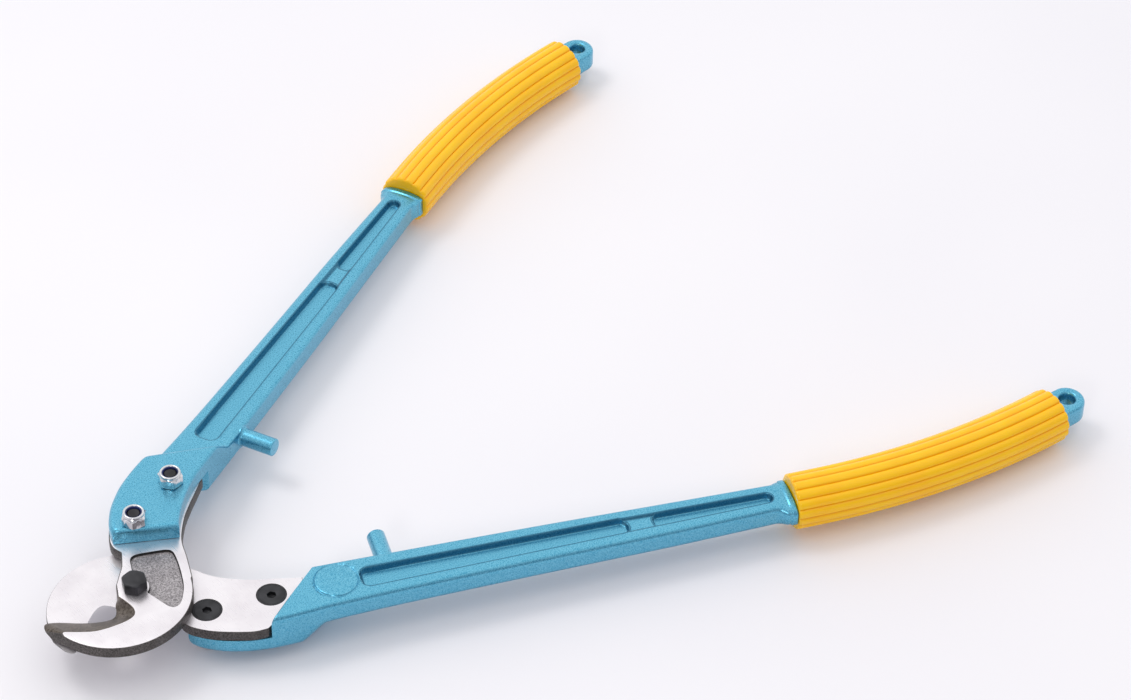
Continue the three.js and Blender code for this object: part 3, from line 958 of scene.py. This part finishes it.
@dataclass(frozen=True)
class Channel:
    """A tapered channel in the bar, with round ends: x, lower side and upper side at both ends."""

    start: tuple[float, float, float]
    end: tuple[float, float, float]
    corner: float
    depth: float
    draft: float = 1.5
    lead: float = 0.2

    def depth_at(self, x: Array, y: Array) -> Array:
        """Depth of the channel at points in plan.

        The distance inside a rounded rectangle plus the lead, over the width of the sloped wall,
        is smoothed into a share of the full depth.

        Args:
            x: x of the points.
            y: y of the points.

        Returns:
            The depths.
        """
        return self.depth * smooth((self.distance(x, y) + self.lead) / self.draft)

    def distance(self, x: Array, y: Array) -> Array:
        """Distance of points inside the channel's outline, in plan, and negative outside it."""
        (x0, low0, high0), (x1, low1, high1) = self.start, self.end
        share = np.clip((x - x0) / (x1 - x0), 0, 1)
        low, high = low0 + (low1 - low0) * share, high0 + (high1 - high0) * share
        over_x = np.abs(x - (x0 + x1) / 2) - ((x1 - x0) / 2 - self.corner)
        over_y = np.abs(y - (low + high) / 2) - ((high - low) / 2 - self.corner)
        corner = np.hypot(np.maximum(over_x, 0), np.maximum(over_y, 0))
        return self.corner - corner - np.minimum(np.maximum(over_x, over_y), 0)


@dataclass(frozen=True)
class CastHandle:
    """The painted casting: a plate over the blade, a slanted shoulder and a channelled bar."""

    bar_half: float = 7.2
    plate_top: float = 17.5
    plate_base: float = 7.5
    rounding: float = 2.1
    outer_rounding: float = 3.6
    base_rounding: float = 0.4
    front_rounding: float = 2.6
    shoulder_rounding: float = 1.5
    wall_lead: float = 1.35
    shoulder: Line = ((99.4, 9.0), (66.9, 45.8))
    step: Line = ((111.2, 11.6), (86.6, 41.6))
    front: Line = ((45.1, -2.3), (23.2, 28.2))
    step_run: float = 9.3
    step_softness: float = 0.45
    disc: Pair = (108.7, 25.9)
    disc_moat: float = 12.95
    moat_depth: float = 1.2
    moat_wall: float = 0.4
    square_from: float = 150.0
    flare_start: float = 363.5
    flare_end: float = 371.0
    end: float = 375.7
    rim_half_width: float = 15.6
    rim_half_height: float = 8.2
    rim_y: float = 30.9
    rim_power: float = 2.6
    rim_edge: float = 0.7
    rim_lead: float = 0.35
    rim_waist: float = 0.06
    waist_end: float = 372.6
    waist_run: float = 1.2
    wall_lines: tuple[float, ...] = (-0.9, -0.6, -0.35, -0.1, 0.15, 0.45, 0.75, 1.05, 1.4, 1.8)
    channels: tuple[Channel, ...] = (
        Channel((122.5, 20.6, 35.2), (279, 23.4, 34.9), 5.0, 3.6),
        Channel((293, 24.6, 34.7), (364.8, 26.8, 34.6), 3.7, 3.6),
    )
    bridge: Channel = Channel((262, 23.1, 34.9), (310, 25.1, 34.7), 1.5, 1.4)

    def sides(self) -> tuple[Array, Array]:
        """Both long sides in plan, as dense curves of x and y: inner and outer."""
        inner = spline([[45.1, -2.3], [51.5, 1.2], [60.7, 5], [70.9, 8.1], [82, 10.2], [94.5, 11],
                        [125, 11.7], [150, 12.4], [230, 14.9], [300, 17.7], [369, 20.4]], 400)
        outer = spline([[23.2, 28.2], [28.6, 33.9], [38.7, 39.6], [49.2, 43], [60, 45], [75, 45.6],
                        [90, 44.8], [105, 43.7], [150, 42.6], [230, 42.1], [300, 42],
                        [369, 40.8]], 440)
        return inner, outer

    def stations(self) -> Array:
        """Where the sections cross the inner side: dense where the casting changes shape.

        Each stretch is given by its start and its step.
        """
        stretches = ((45.1, 0.25), (48.6, 1.2), (97, 0.6), (self.shoulder[0][0], 0.3), (104, 0.5),
                     (150, 2.4), (272, 0.4), (300, 2.4), (355, 0.35), (self.end, 0))
        cuts = [np.arange(start, stop, step)
                for (start, step), (stop, _) in zip(stretches, stretches[1:])]
        return np.concatenate([*cuts, [self.end]])

    def across(self, x: Array, width: Array) -> Array:
        """Where the lengthwise lines of a face cross a section, as shares of its width.

        The lines crowd along both walls of the channels, so each wall is a few narrow rows.

        Args:
            x: where the section crosses the inner side.
            width: its width.

        Returns:
            Sections by lines.
        """
        inner, outer = self.sides()
        end_x, end_low, end_high = np.array([c for cut in self.channels
                                             for c in (cut.start, cut.end)]).T
        at = np.maximum(x, end_x[0])
        low, high = np.interp(at, end_x, end_low), np.interp(at, end_x, end_high)
        y_in, y_out = np.interp(at, *inner.T), np.interp(at, *outer.T)
        span = y_out - y_in
        wall = np.array(self.wall_lines)
        lower = (low - y_in)[:, None] + wall
        upper = (high - y_in)[:, None] - wall[::-1]
        slant = span / np.maximum(width, span)
        edge, far_edge = self.rounding * slant, self.outer_rounding * slant
        far_edge = (span - far_edge)[:, None]
        on_rim, on_floor = np.linspace(0, 1, 5)[1:-1], np.linspace(0, 1, 12)[1:-1]
        rim_in = edge[:, None] + (lower[:, :1] - edge[:, None]) * on_rim
        floor = lower[:, -1:] + (upper[:, :1] - lower[:, -1:]) * on_floor
        rim_out = upper[:, -1:] + (far_edge - upper[:, -1:]) * on_rim
        return np.hstack([rim_in, lower, floor, upper, rim_out]) / span[:, None]

    def top(self, point: Array) -> Array:
        """Height of the upper face.

        It is the bar's face less the channels, plus the plate, which ends in a ramp with softened
        ends: one less the difference of two soft ramps over the run of the slope.
        """
        past, soft = distance_past(point, *self.step), self.step_softness
        rise = np.logaddexp(0, past / soft) - np.logaddexp(0, (past - self.step_run) / soft)
        plate = 1 - rise * soft / self.step_run
        front = round_drop(distance_past(point, *self.front), self.front_rounding)
        channels = self.channel_depth(point)
        return self.bar_half - channels + (self.plate_top - self.bar_half) * plate - front

    def bottom(self, point: Array) -> Array:
        """Height of the lower face behind the shoulder, where the bar faces the other half."""
        edge = round_drop(distance_past(point, *self.shoulder), self.shoulder_rounding)
        from_disc = np.hypot(point[..., 0] - self.disc[0], point[..., 1] - self.disc[1])
        moat = self.moat_depth * smooth((self.disc_moat - from_disc) / self.moat_wall)
        return -self.bar_half + self.channel_depth(point) + edge + moat

    def channel_depth(self, point: Array) -> Array:
        """Depth of whichever channel is deepest at each point, with the low bridge between them."""
        cuts = (*self.channels, self.bridge)
        return np.max([c.depth_at(point[..., 0], point[..., 1]) for c in cuts], axis=0)

    def face_row(self, start: Array, stop: Array, share: Array, radii: Pair,
                 height: Callable[[Array], Array], sign: int) -> Array:
        """One face of every section with both its rounded edges, from the inner to the outer side.

        Across the rounding the offset is the radius times one less the cosine and the face drops
        by the radius times one less the sine. One more point below it keeps the wall flat.

        Args:
            start: the sections' ends on the inner side.
            stop: their ends on the outer side.
            share: where the lengthwise lines cross each section.
            radii: rounding of the inner and of the outer edge.
            height: height of the face at points in plan.
            sign: 1 for the upper face, -1 for the lower.

        Returns:
            Sections by points by xyz.
        """
        bend = np.linspace(0, QUARTER_TURN, 7)
        width = np.linalg.norm(stop - start, axis=1)[:, None]
        run = np.concatenate([[0], 1 - np.cos(bend)])
        drop = np.concatenate([[self.wall_lead], 1 - np.sin(bend)])
        inner, outer = radii
        shares = np.hstack([inner * run / width, share, 1 - outer * run[::-1] / width])
        rows = np.ones((len(start), 1))
        drops = np.hstack([inner * drop * rows, np.zeros_like(share), outer * drop[::-1] * rows])
        plan = start[:, None] + (stop - start)[:, None] * shares[..., None]
        return np.dstack([plan, height(plan) - sign * drops])

    def rings(self) -> Array:
        """All sections as rings, with the oval flange at the grip's end.

        Each section is a straight line in plan, slanted like the plate's front, the shoulder and
        the step, and square to the bar from x = 150 on. In the flare each point moves from the
        bar's section to the point of a soft-cornered oval in the same direction from the middle.
        """
        inner, outer = self.sides()
        x_in = self.stations()
        square = [self.square_from, self.end]
        x_out = np.interp(x_in, [45.1, 99.4, 111.2, *square], [23.2, 66.9, 83.7, *square])
        start = np.column_stack([x_in, np.interp(x_in, *inner.T)])
        stop = np.column_stack([x_out, np.interp(x_out, *outer.T)])
        share = self.across(x_in, np.linalg.norm(stop - start, axis=1))
        radii, base_radii = (self.rounding, self.outer_rounding), (self.base_rounding,) * 2
        upper = self.face_row(start, stop, share, radii, self.top, 1)
        seat = self.face_row(start, stop, share, base_radii,
                             lambda point: np.full(point.shape[:-1], self.plate_base), -1)
        lower = self.face_row(start, stop, share, radii, self.bottom, -1)
        over_blade = x_in < self.shoulder[0][0] - 1e-6
        at_shoulder = int(np.argmin(over_blade))
        front = np.hstack([upper[over_blade], seat[over_blade][:, ::-1]])
        seam = np.concatenate([upper[at_shoulder], seat[at_shoulder, ::-1]])[None]
        back = np.hstack([upper[~over_blade], lower[~over_blade][:, ::-1]])
        rings = np.vstack([front, seam, back])
        return self.flared(rings)

    def painted_shade(self, rings: Array) -> Array:
        """Share of shadow at each point: all over the channels' steep walls.

        It starts on the rim's edge, which turns away from the light, and ends at the foot of the
        wall. The outer sides of the bar are far from the channels and get none.
        """
        x, y = rings[..., 0], rings[..., 1]
        line_share, wall_share, bridge_share = 0.95, 0.5, 0.7
        line_at, line_width, rim_from, rim_run, lowest = -0.45, 0.32, 0.3, 0.4, 3
        deepest = np.max([channel.distance(x, y) for channel in self.channels], axis=0)
        line = line_share * np.exp(-(((deepest - line_at) / line_width) ** 2))
        wall = np.maximum(line, wall_share * self.shade(deepest, self.channels[0].draft))
        outside = smooth((rim_from - deepest) / rim_run)
        beside = self.shade(self.bridge.distance(x, y), self.bridge.draft) * outside
        on_face = np.abs(rings[..., 2]) > lowest
        return np.maximum(wall, bridge_share * beside) * on_face

    def shade(self, distance: Array, draft: float) -> Array:
        """Shadow over a channel's wall, by the distance inside its outline and the wall's width."""
        begins, rises, ends, fades = -0.8, 0.3, 1.15 * draft, 0.6
        return smooth((distance - begins) / rises) * smooth((ends - distance) / fades)

    def flared(self, rings: Array) -> Array:
        """Turns the last sections into the flange's oval, which starts with a slight waist.

        The oval is a superellipse: the sum of both shares of its half axes, raised to a power
        above 2, is one. So its reach in a direction is that sum to the power minus one over it.
        """
        x = rings[..., 0]
        share = smooth((x - self.flare_start) / (self.flare_end - self.flare_start))
        across, high = rings[..., 1] - self.rim_y, rings[..., 2]
        angle = np.arctan2(high / self.rim_half_height, across / self.rim_half_width)
        power = self.rim_power
        reach = (np.abs(np.cos(angle)) ** power + np.abs(np.sin(angle)) ** power) ** (-1 / power)
        from_ends = np.minimum(self.end - x, x - self.flare_end + self.rim_lead)
        edge = np.where(x > self.flare_end, round_drop(from_ends, self.rim_edge), 0)
        grown = 1 - self.rim_waist * smooth((self.waist_end - x) / self.waist_run)
        oval_y = self.rim_y + (self.rim_half_width * grown - edge) * reach * np.cos(angle)
        oval_z = (self.rim_half_height * grown - edge) * reach * np.sin(angle)
        made = rings.copy()
        made[..., 1] += (oval_y - rings[..., 1]) * share
        made[..., 2] += (oval_z - rings[..., 2]) * share
        return made

    def disc_rings(self) -> Array:
        """The cast disc and the groove round it, as a turned surface that covers the moat.

        From the middle the profile runs over the raised disc, down into the groove, up its outer
        wall and out under the bar's face.
        """
        face, proud = self.bar_half, 0.35
        profile = np.array([
            [4.0, proud], [11.4, proud], [11.85, proud - 0.08], [12.1, proud - 0.3],
            [12.25, -0.5], [12.55, -0.6], [12.8, -0.45], [12.95, 0.0], [13.05, 0.03],
            [13.25, 0.03], [13.35, -0.15], [13.35, -0.9], [4.0, -0.9],
        ])
        profile[:, 1] = -face - profile[:, 1]
        return turned(profile, columns=96)

    def build(self, half: Half) -> None:
        """Builds the casting and its disc for one half."""
        paint = [half.finishes.paint]
        rings = self.rings()
        body = skin(rings, self.painted_shade(rings))
        half.add("cast_handle", body, paint, "handle_paint", "handle")
        half.add("cast_disc", skin(self.disc_rings()), paint, "handle_paint", at=self.disc,
                 sharp=60)


@dataclass(frozen=True)
class GripLine:
    """Centre line of the grip: straight, then a wide bend towards the eye."""

    axis_y: float = 30.9
    bend_start: float = 392.0
    bend_radius: float = 472.0

    def at(self, along: Array) -> tuple[Array, Array]:
        """Points of the line and its sideways direction, at distances given as straight x.

        Past the start of the bend the line turns by the distance over the bend's radius.
        """
        past = np.maximum(along - self.bend_start, 0)
        turn = past / self.bend_radius
        x = np.minimum(along, self.bend_start) + self.bend_radius * np.sin(turn)
        y = self.axis_y - self.bend_radius * (1 - np.cos(turn))
        sideways = np.column_stack([np.sin(turn), np.cos(turn), np.zeros_like(turn)])
        return np.column_stack([x, y, np.zeros_like(x)]), sideways


@dataclass(frozen=True)
class RibbedGrip:
    """The moulded grip: a thick sleeve with rounded ribs along it."""

    line: GripLine = GripLine()
    start: float = 376.0
    length: float = 176.0
    radius: float = 16.5
    groove: float = 1.25
    ribs: int = 16
    front_edge: float = 2.0
    end_edge: float = 1.3
    core: float = 9.5
    rib_reach: float = 0.975
    rib_columns: int = 16
    fade_lead: float = 0.6
    fade_run: float = 2.0
    painted_shade_gain: float = 1.5

    def rings(self) -> tuple[Array, Array]:
        """The sleeve's surface and its share of painted shade, by the distance along it and the
        angle round it.

        The radius is the full one, less the end's rounding, less the groove's depth times a round
        rib's drop: one less the square root of one less the square of the distance from its
        middle. The grooves fade in behind the front edge and run out at the far end, in scallops.
        """
        bend = np.linspace(0, QUARTER_TURN, 8)
        front_in = self.front_edge * (1 - np.sin(bend))
        front_at = self.front_edge * (1 - np.cos(bend))
        middle = np.linspace(self.front_edge, self.length - self.end_edge, 90)[1:-1]
        end_in = self.end_edge * (1 - np.sin(bend))[::-1]
        end_at = self.length - self.end_edge * (1 - np.cos(bend))[::-1]
        hidden = self.radius - self.core
        along = np.concatenate([[0.0], front_at, middle, end_at, [self.length]])
        taken = np.concatenate([[hidden], front_in, np.zeros(len(middle)), end_in, [hidden]])
        angle = np.linspace(0, FULL_TURN, self.ribs * self.rib_columns, endpoint=False)
        from_middle = np.abs((angle * self.ribs / FULL_TURN) % 1 - 0.5) * 2
        reach = self.rib_reach
        valley = (1 - np.sqrt(1 - (reach * from_middle) ** 2)) / (1 - np.sqrt(1 - reach**2))
        shown = smooth((along + self.fade_lead) / self.fade_run) * np.where(taken >= hidden, 0, 1)
        radius = self.radius - taken[:, None] - self.groove * valley * shown[:, None]
        centre, sideways = self.line.at(self.start + along)
        up = np.array([0, 0, 1.0])
        across = radius * np.cos(angle)
        high = radius * np.sin(angle)
        rings = centre[:, None] + across[..., None] * sideways[:, None] + high[..., None] * up
        # Painted shade: full in the grooves between the ribs, and none over the middle of each rib.
        painted_shade = np.clip(1 - (1 - valley) * self.painted_shade_gain, 0, 1)
        return rings, shown[:, None] * painted_shade

    def build(self, half: Half) -> None:
        """Builds the grip of one half."""
        half.add("ribbed_grip", skin(*self.rings()), [half.finishes.vinyl], "grip_pvc", "grip",
                 sharp=50)


@dataclass(frozen=True)
class HangingEye:
    """The tongue at the end of the casting, with a bevelled hole to hang the tool on."""

    line: GripLine = GripLine()
    centre_x: float = 560.0
    hole: float = 4.8
    bevel: float = 1.4
    radius: float = 10.6
    half_height: float = 6.8
    edge: float = 2.6
    root_at: float = 539.7
    root_half: float = 10.8

    def reach(self, angle: Array) -> Array:
        """Distance from the hole's axis to the outline, in every direction.

        The outline is a round end and a wider root inside the grip. Its points are sorted by
        their direction, and the distance is read off between them.
        """
        root, sideways = (rows[0] for rows in self.line.at(np.array([self.root_at])))
        corners = np.vstack([root - sideways * self.root_half, root + sideways * self.root_half])
        eye = arc((self.centre_x, 0), self.radius, -np.pi * 0.56, np.pi * 0.38, 60)
        outline = np.vstack([corners[:1, :2], eye, corners[1:, :2]])
        steps = np.linspace(0, 1, 24, endpoint=False)[:, None]
        following = np.roll(outline, -1, axis=0)
        dense = np.vstack([a + (b - a) * steps for a, b in zip(outline, following)])
        away = dense - [self.centre_x, 0]
        direction = np.arctan2(away[:, 1], away[:, 0])
        order = np.argsort(direction)
        return np.interp(angle, direction[order], np.linalg.norm(away, axis=1)[order],
                         period=FULL_TURN)

    def rings(self) -> Array:
        """A closed tube round the hole: each section runs over the top, down and back inside."""
        angle = np.linspace(-np.pi, np.pi, 144, endpoint=False)
        reach = self.reach(angle)
        bend = np.linspace(0, QUARTER_TURN, 8)
        h, e, b = self.half_height, self.edge, self.bevel
        inner = np.array([
            [self.hole, -h + b], [self.hole, h - b], [self.hole + 0.35 * b, h - 0.45 * b],
            [self.hole + 0.75 * b, h - 0.12 * b], [self.hole + b, h]])
        inside_ring = np.repeat(inner[None], len(angle), axis=0)
        out = reach[:, None] - e + e * np.sin(bend)
        over = np.stack([out, np.broadcast_to(h - e + e * np.cos(bend), out.shape)], axis=-1)
        under = over[:, ::-1] * [1, -1]
        back = inside_ring[:, :1:-1] * [1, -1]
        section = np.hstack([inside_ring, over, under, back])
        x = self.centre_x + section[..., 0] * np.cos(angle)[:, None]
        y = section[..., 0] * np.sin(angle)[:, None]
        return np.stack([x, y, section[..., 1]], axis=-1)

    def build(self, half: Half) -> None:
        """Builds the eye of one half."""
        tube = [strip(self.rings(), closed=True)]
        half.add("hanging_eye", tube, [half.finishes.paint], "handle_paint")


@dataclass(frozen=True)
class StopPeg:
    """The round peg that stops the handles, with a fillet where it leaves the casting."""

    x: float = 140.4
    end: float = -9.2
    root: float = 16.0
    radius: float = 5.3
    edge: float = 0.7
    fillet: float = 1.8
    bar_side: float = 12.1

    def rings(self) -> Array:
        """A turned profile about the peg's own axis: end face, rounded edge, shank and fillet."""
        edge = fillet((self.radius - self.edge, self.end + self.edge), self.edge, -QUARTER_TURN)
        bend = np.linspace(0, QUARTER_TURN, 7)
        flare = np.column_stack([self.radius + self.fillet * (1 - np.cos(bend)),
                                 self.bar_side - self.fillet * (1 - np.sin(bend))])
        profile = np.vstack([edge, flare, [[self.radius + self.fillet, self.root]]])
        round_z = turned(profile, columns=48)
        return np.stack([round_z[..., 0] + self.x, round_z[..., 2], round_z[..., 1]], axis=-1)

    def build(self, half: Half) -> None:
        """Builds the peg of one half."""
        half.add("peg", skin(self.rings()), [half.finishes.paint], "handle_paint", "stop_peg")


# ---- Fasteners ----------------------------------------------------------------------------------


@dataclass(frozen=True)
class SocketScrew:
    """A countersunk M8 socket screw: head in the shear face, thread end up in its nut."""

    face: float = 0.25
    head: float = 8.4
    thread: float = 4.0
    socket: float = 5.0
    socket_depth: float = 2.6
    rim: float = 0.4
    end: float = 24.6

    def patches(self) -> list[Patch]:
        """The socket's hexagon wall, the ring of the head round it, the cone and the thread.

        The head has a fine round groove near its rim, and the cone stands at 45 degrees.
        """
        f, d, head, thread = self.face, self.socket_depth, self.head, self.thread
        wall = np.array([[0.35, f + d + 0.5], [1.0, f + d], [1.0, f + 0.12]])
        outside = turned(np.array([
            [3.2, f], [head - 1.3, f], [head - 1.15, f + 0.14], [head - 0.95, f + 0.14],
            [head - 0.8, f], [head - 0.15, f], [head, f + 0.15], [head, f + self.rim],
            [thread, f + self.rim + head - thread], [thread, self.end - 0.8],
            [thread - 0.8, self.end], [1.2, self.end - 0.15],
        ]))
        return skin(np.vstack([hex_rings(wall, self.socket), outside]))

    def build(self, half: Half, name: str, at: Pair) -> None:
        """Builds one screw, the front or the rear one, at its place in the half's plan."""
        half.add(f"{name}_socket_screw", self.patches(), [half.finishes.oxide], "black_oxide",
                 f"{name}_screw", at, 20)


@dataclass(frozen=True)
class LockNut:
    """A nylon-insert M8 lock nut with a crown that is rolled over the insert."""

    across_flats: float = 13.0
    bore: float = 4.3
    hex_top: float = 6.1
    height: float = 8.0
    crown: float = 6.1
    roll: float = 0.75

    def profile(self, base: float) -> Array:
        """Radius and height of the nut's closed profile, from the bore round the outside."""
        corner, roll = self.across_flats / np.sqrt(3), self.roll
        crown, hex_top = self.crown, self.hex_top
        points = np.vstack([
            [[self.bore, 0.0], [corner - 1.1, 0.0], [corner, 0.55], [corner, hex_top - 0.75],
             [crown + 0.25, hex_top + 0.05], [crown, hex_top + 0.35]],
            arc((crown - roll, self.height - roll), roll, 0, np.pi * 0.93, 9),
            [[5.1, 5.9], [self.bore, 5.8]],
        ])
        return points + [0, base]

    def ring_profile(self, base: float) -> Array:
        """Profile of the nylon insert inside the crown."""
        points = np.array([[4.1, 6.1], [4.75, 6.1], [4.75, 7.25], [4.6, 7.5], [4.25, 7.45],
                           [4.1, 7.2]])
        return points + [0, base]

    def build(self, name: str, body: str, base: float, turn: float, place: Place,
              finishes: Finishes) -> None:
        """Builds one nut, as it was left when it was tightened, and its insert.

        Args:
            name: the nut's CAD node. The insert's has _ring behind it.
            body: the CAD body that both ride on.
            base: height of the nut's underside.
            turn: angle of the middle of one flat, in degrees.
            place: puts them where the frame holds them.
            finishes: the materials.
        """
        outside = turned(self.profile(base), self.across_flats, np.radians(turn))
        hexagon = [strip(outside, closed=True)]
        nut = make_piece(f"{name}_hexagon", hexagon, place, [finishes.zinc], 24)
        finish_piece(nut, body, "zinc_plate", name)
        insert = [strip(turned(self.ring_profile(base)), closed=True)]
        ring = make_piece(f"{name}_insert", insert, place, [finishes.nylon])
        finish_piece(ring, body, "nylon", f"{name}_ring")


@dataclass(frozen=True)
class PivotBolt:
    """The M8 bolt that the blades turn on, with its washer under the lower blade."""

    across_flats: float = 13.0
    turn: float = 37.5
    thread: float = 4.0
    base: float = 7.5
    head: float = 7.0
    end: float = -16.2
    washer_radius: float = 8.5
    washer_thickness: float = 1.6
    washer_edge: float = 0.25
    washer_play: float = 0.3

    def patches(self) -> list[Patch]:
        """Thread end, shank and a hexagon head whose top is chamfered to a circle."""
        corner, top = self.across_flats / np.sqrt(3), self.base + self.head
        shank = turned(np.array([[self.thread - 0.8, self.end], [self.thread, self.end + 0.8],
                                 [self.thread, self.base]]))
        head = turned(np.array([
            [6.2, self.base], [corner, self.base + 0.5], [corner, top - 1.15],
            [corner - 0.55, top - 0.62], [corner - 1.35, top - 0.12], [corner - 1.75, top],
        ]), self.across_flats, np.radians(self.turn))
        return skin(np.vstack([shank, head]))

    def washer_profile(self) -> Array:
        """Closed profile of the washer, drawn downwards from the blade's outer face."""
        r, e, inner = self.washer_radius, self.washer_edge, self.thread + self.washer_play
        low, high = self.base, self.base + self.washer_thickness
        return np.array([[inner, low], [r - e, low], [r, low + e], [r, high - e], [r - e, high],
                         [inner, high]])

    def build(self, halves: HalfFrame, finishes: Finishes) -> None:
        """Builds the bolt, the washer and the nut, which all ride on the lower half."""
        body = "lower_half"
        above, under = halves.place_on_pivot(False), halves.place_on_pivot(True)
        bolt = make_piece("pivot_hex_bolt", self.patches(), above, [finishes.oxide], 20)
        finish_piece(bolt, body, "black_oxide", "pivot_bolt")
        plate = [strip(turned(self.washer_profile()), closed=True)]
        washer = make_piece("pivot_flat_washer", plate, under, [finishes.zinc])
        finish_piece(washer, body, "zinc_plate", "pivot_washer")
        nut_base = self.base + self.washer_thickness + NUT_GAP
        LockNut().build("pivot_nut", body, nut_base, 0.0, under, finishes)


# ---- Studio -------------------------------------------------------------------------------------


@dataclass(frozen=True)
class Studio:
    """Pale paper floor, a light room with two softboxes, and the camera.

    The camera's angles are in radians, its target, distance, sensor and lens in millimetres. All
    other lengths are in metres.
    """

    eye_yaw: float = -0.714450694
    eye_pitch: float = 0.726116973
    eye_roll: float = 0.0146674612
    target: Pair = (318.321526, 4.66264467)
    distance: float = 2176.64335
    sensor: float = 36.0
    lens: float = 115.30209580901857
    far_clip: float = 60.0
    floor_half: float = 8.0
    floor_cells: int = 32
    floor_slope: float = 0.02
    floor_level_x: float = -0.18
    floor_gap: float = 0.0002
    light_aim: tuple[float, float, float] = (0.05, 0, 0)
    bright_side: tuple[float, float, float] = (0.45, 0.52, 0.73)
    room_light: float = 1.06
    dim_wall: str = "#a4a6b0"
    bright_wall: str = "#ffffff"
    dim_to: float = -0.25
    bright_from: float = 0.55

    def directions(self) -> tuple[Array, Array, Array]:
        """Forward, right and up of the camera, from its yaw, its pitch below level and its roll."""
        cy, sy = np.cos(self.eye_yaw), np.sin(self.eye_yaw)
        cp, sp = np.cos(self.eye_pitch), np.sin(self.eye_pitch)
        forward = np.array([-sy * cp, cy * cp, -sp])
        right = np.cross(forward, [0, 0, 1])
        right /= np.linalg.norm(right)
        up = np.cross(right, forward)
        c, s = np.cos(self.eye_roll), np.sin(self.eye_roll)
        return forward, c * right + s * up, -s * right + c * up

    def add_camera(self, halves: HalfFrame) -> None:
        """Puts the camera at its distance from the target in the shear plane."""
        forward, right, up = self.directions()
        target = np.array([*self.target, 0]) * MM + halves.origin
        where = target - forward * self.distance * MM
        camera = bpy.data.objects.new("camera", bpy.data.cameras.new("camera"))
        camera.data.sensor_width, camera.data.lens = self.sensor, self.lens
        matrix = np.eye(4)
        matrix[:3] = np.column_stack([right, up, -forward, where])
        camera.matrix_world = Matrix(matrix.tolist())
        camera.data.clip_end = self.far_clip
        bpy.context.scene.collection.objects.link(camera)
        bpy.context.scene.camera = camera

    def add_floor(self) -> None:
        """A large sheet of paper, sloped so that the lower nuts and the grips both touch it.

        Its height is the slope times the distance past the nuts, which touch at zero.
        """
        cells, half = self.floor_cells, self.floor_half
        line = np.linspace(-half, half, cells + 1)
        x, y = np.meshgrid(line, line, indexing="ij")
        z = (x - self.floor_level_x) * self.floor_slope - self.floor_gap
        points = np.stack([x, y, z], axis=-1)
        row, column = np.meshgrid(np.arange(cells), np.arange(cells), indexing="ij")
        first = row * (cells + 1) + column
        quads = np.stack([first, first + cells + 1, first + cells + 2, first + 1], axis=-1)
        mesh = bpy.data.meshes.new("paper_floor")
        mesh.from_pydata(points.reshape(-1, 3).tolist(), [], quads.reshape(-1, 4).tolist())
        mesh.materials.append(BackdropPaper().build())
        floor = bpy.data.objects.new("paper_floor", mesh)
        bpy.context.scene.collection.objects.link(floor)

    def add_light(self, name: str, where: tuple[float, float, float], size: float, power: float,
                  colour: str) -> None:
        """A square softbox that faces the middle of the tool, of a side in metres and in watts."""
        data = bpy.data.lights.new(name, "AREA")
        data.size, data.energy, data.color = size, power, linear(colour)[:3]
        light = bpy.data.objects.new(name, data)
        light.location = where
        towards = Vector(self.light_aim) - Vector(where)
        light.rotation_euler = towards.to_track_quat("-Z", "Y").to_euler()
        bpy.context.scene.collection.objects.link(light)

    def add_world(self) -> None:
        """A white room, brightest above and behind the tool and light grey all round the rest.

        The brightness follows the cosine of the angle to the bright side, which is where level
        faces mirror when they are seen from the camera.
        """
        world = bpy.data.worlds.new("white_room")
        bpy.context.scene.world = world
        world.use_nodes = True
        tree = world.node_tree
        tree.nodes.clear()
        where = add(tree, "ShaderNodeTexCoord").outputs["Generated"]
        facing = add(tree, "ShaderNodeVectorMath", {0: where, 1: self.bright_side},
                     operation="DOT_PRODUCT").outputs["Value"]
        share = spread(tree, facing, self.dim_to, self.bright_from)
        colour = blend_colours(tree, share, self.dim_wall, self.bright_wall)
        back = add(tree, "ShaderNodeBackground", {"Color": colour, "Strength": self.room_light})
        add(tree, "ShaderNodeOutputWorld", {"Surface": back.outputs[0]})

    def build(self, halves: HalfFrame) -> None:
        """Builds the studio."""
        self.add_camera(halves)
        self.add_floor()
        self.add_world()
        self.add_light("key_softbox", (-0.6, 1.3, 2.4), size=0.9, power=13, colour="#fffdfa")
        self.add_light("front_softbox", (-1.9, -1.3, 1.5), size=0.5, power=7, colour="#fffaf2")
        bpy.context.scene.view_settings.view_transform = "Standard"


def main() -> None:
    """Builds every piece of both halves, the pivot and the studio."""
    logging.basicConfig(level=logging.INFO, format="%(name)s %(message)s")
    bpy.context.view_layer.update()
    halves = HalfFrame.from_frame()
    finishes = Finishes.build()
    for side in Side:
        half = Half(side, halves.place(side), finishes)
        for part in (Blade(), CastHandle(), RibbedGrip(), HangingEye(), StopPeg()):
            part.build(half)
        for name, turn, at in zip(("front", "rear"), NUT_TURNS, Blade().screws):
            SocketScrew().build(half, name, at)
            LockNut().build(half.node(f"{name}_nut"), half.node("half"), NUT_BASE, turn,
                            offset(half.place, *at), finishes)
    PivotBolt().build(halves, finishes)
    Studio().build(halves)


if __name__ == "__main__":
    main()
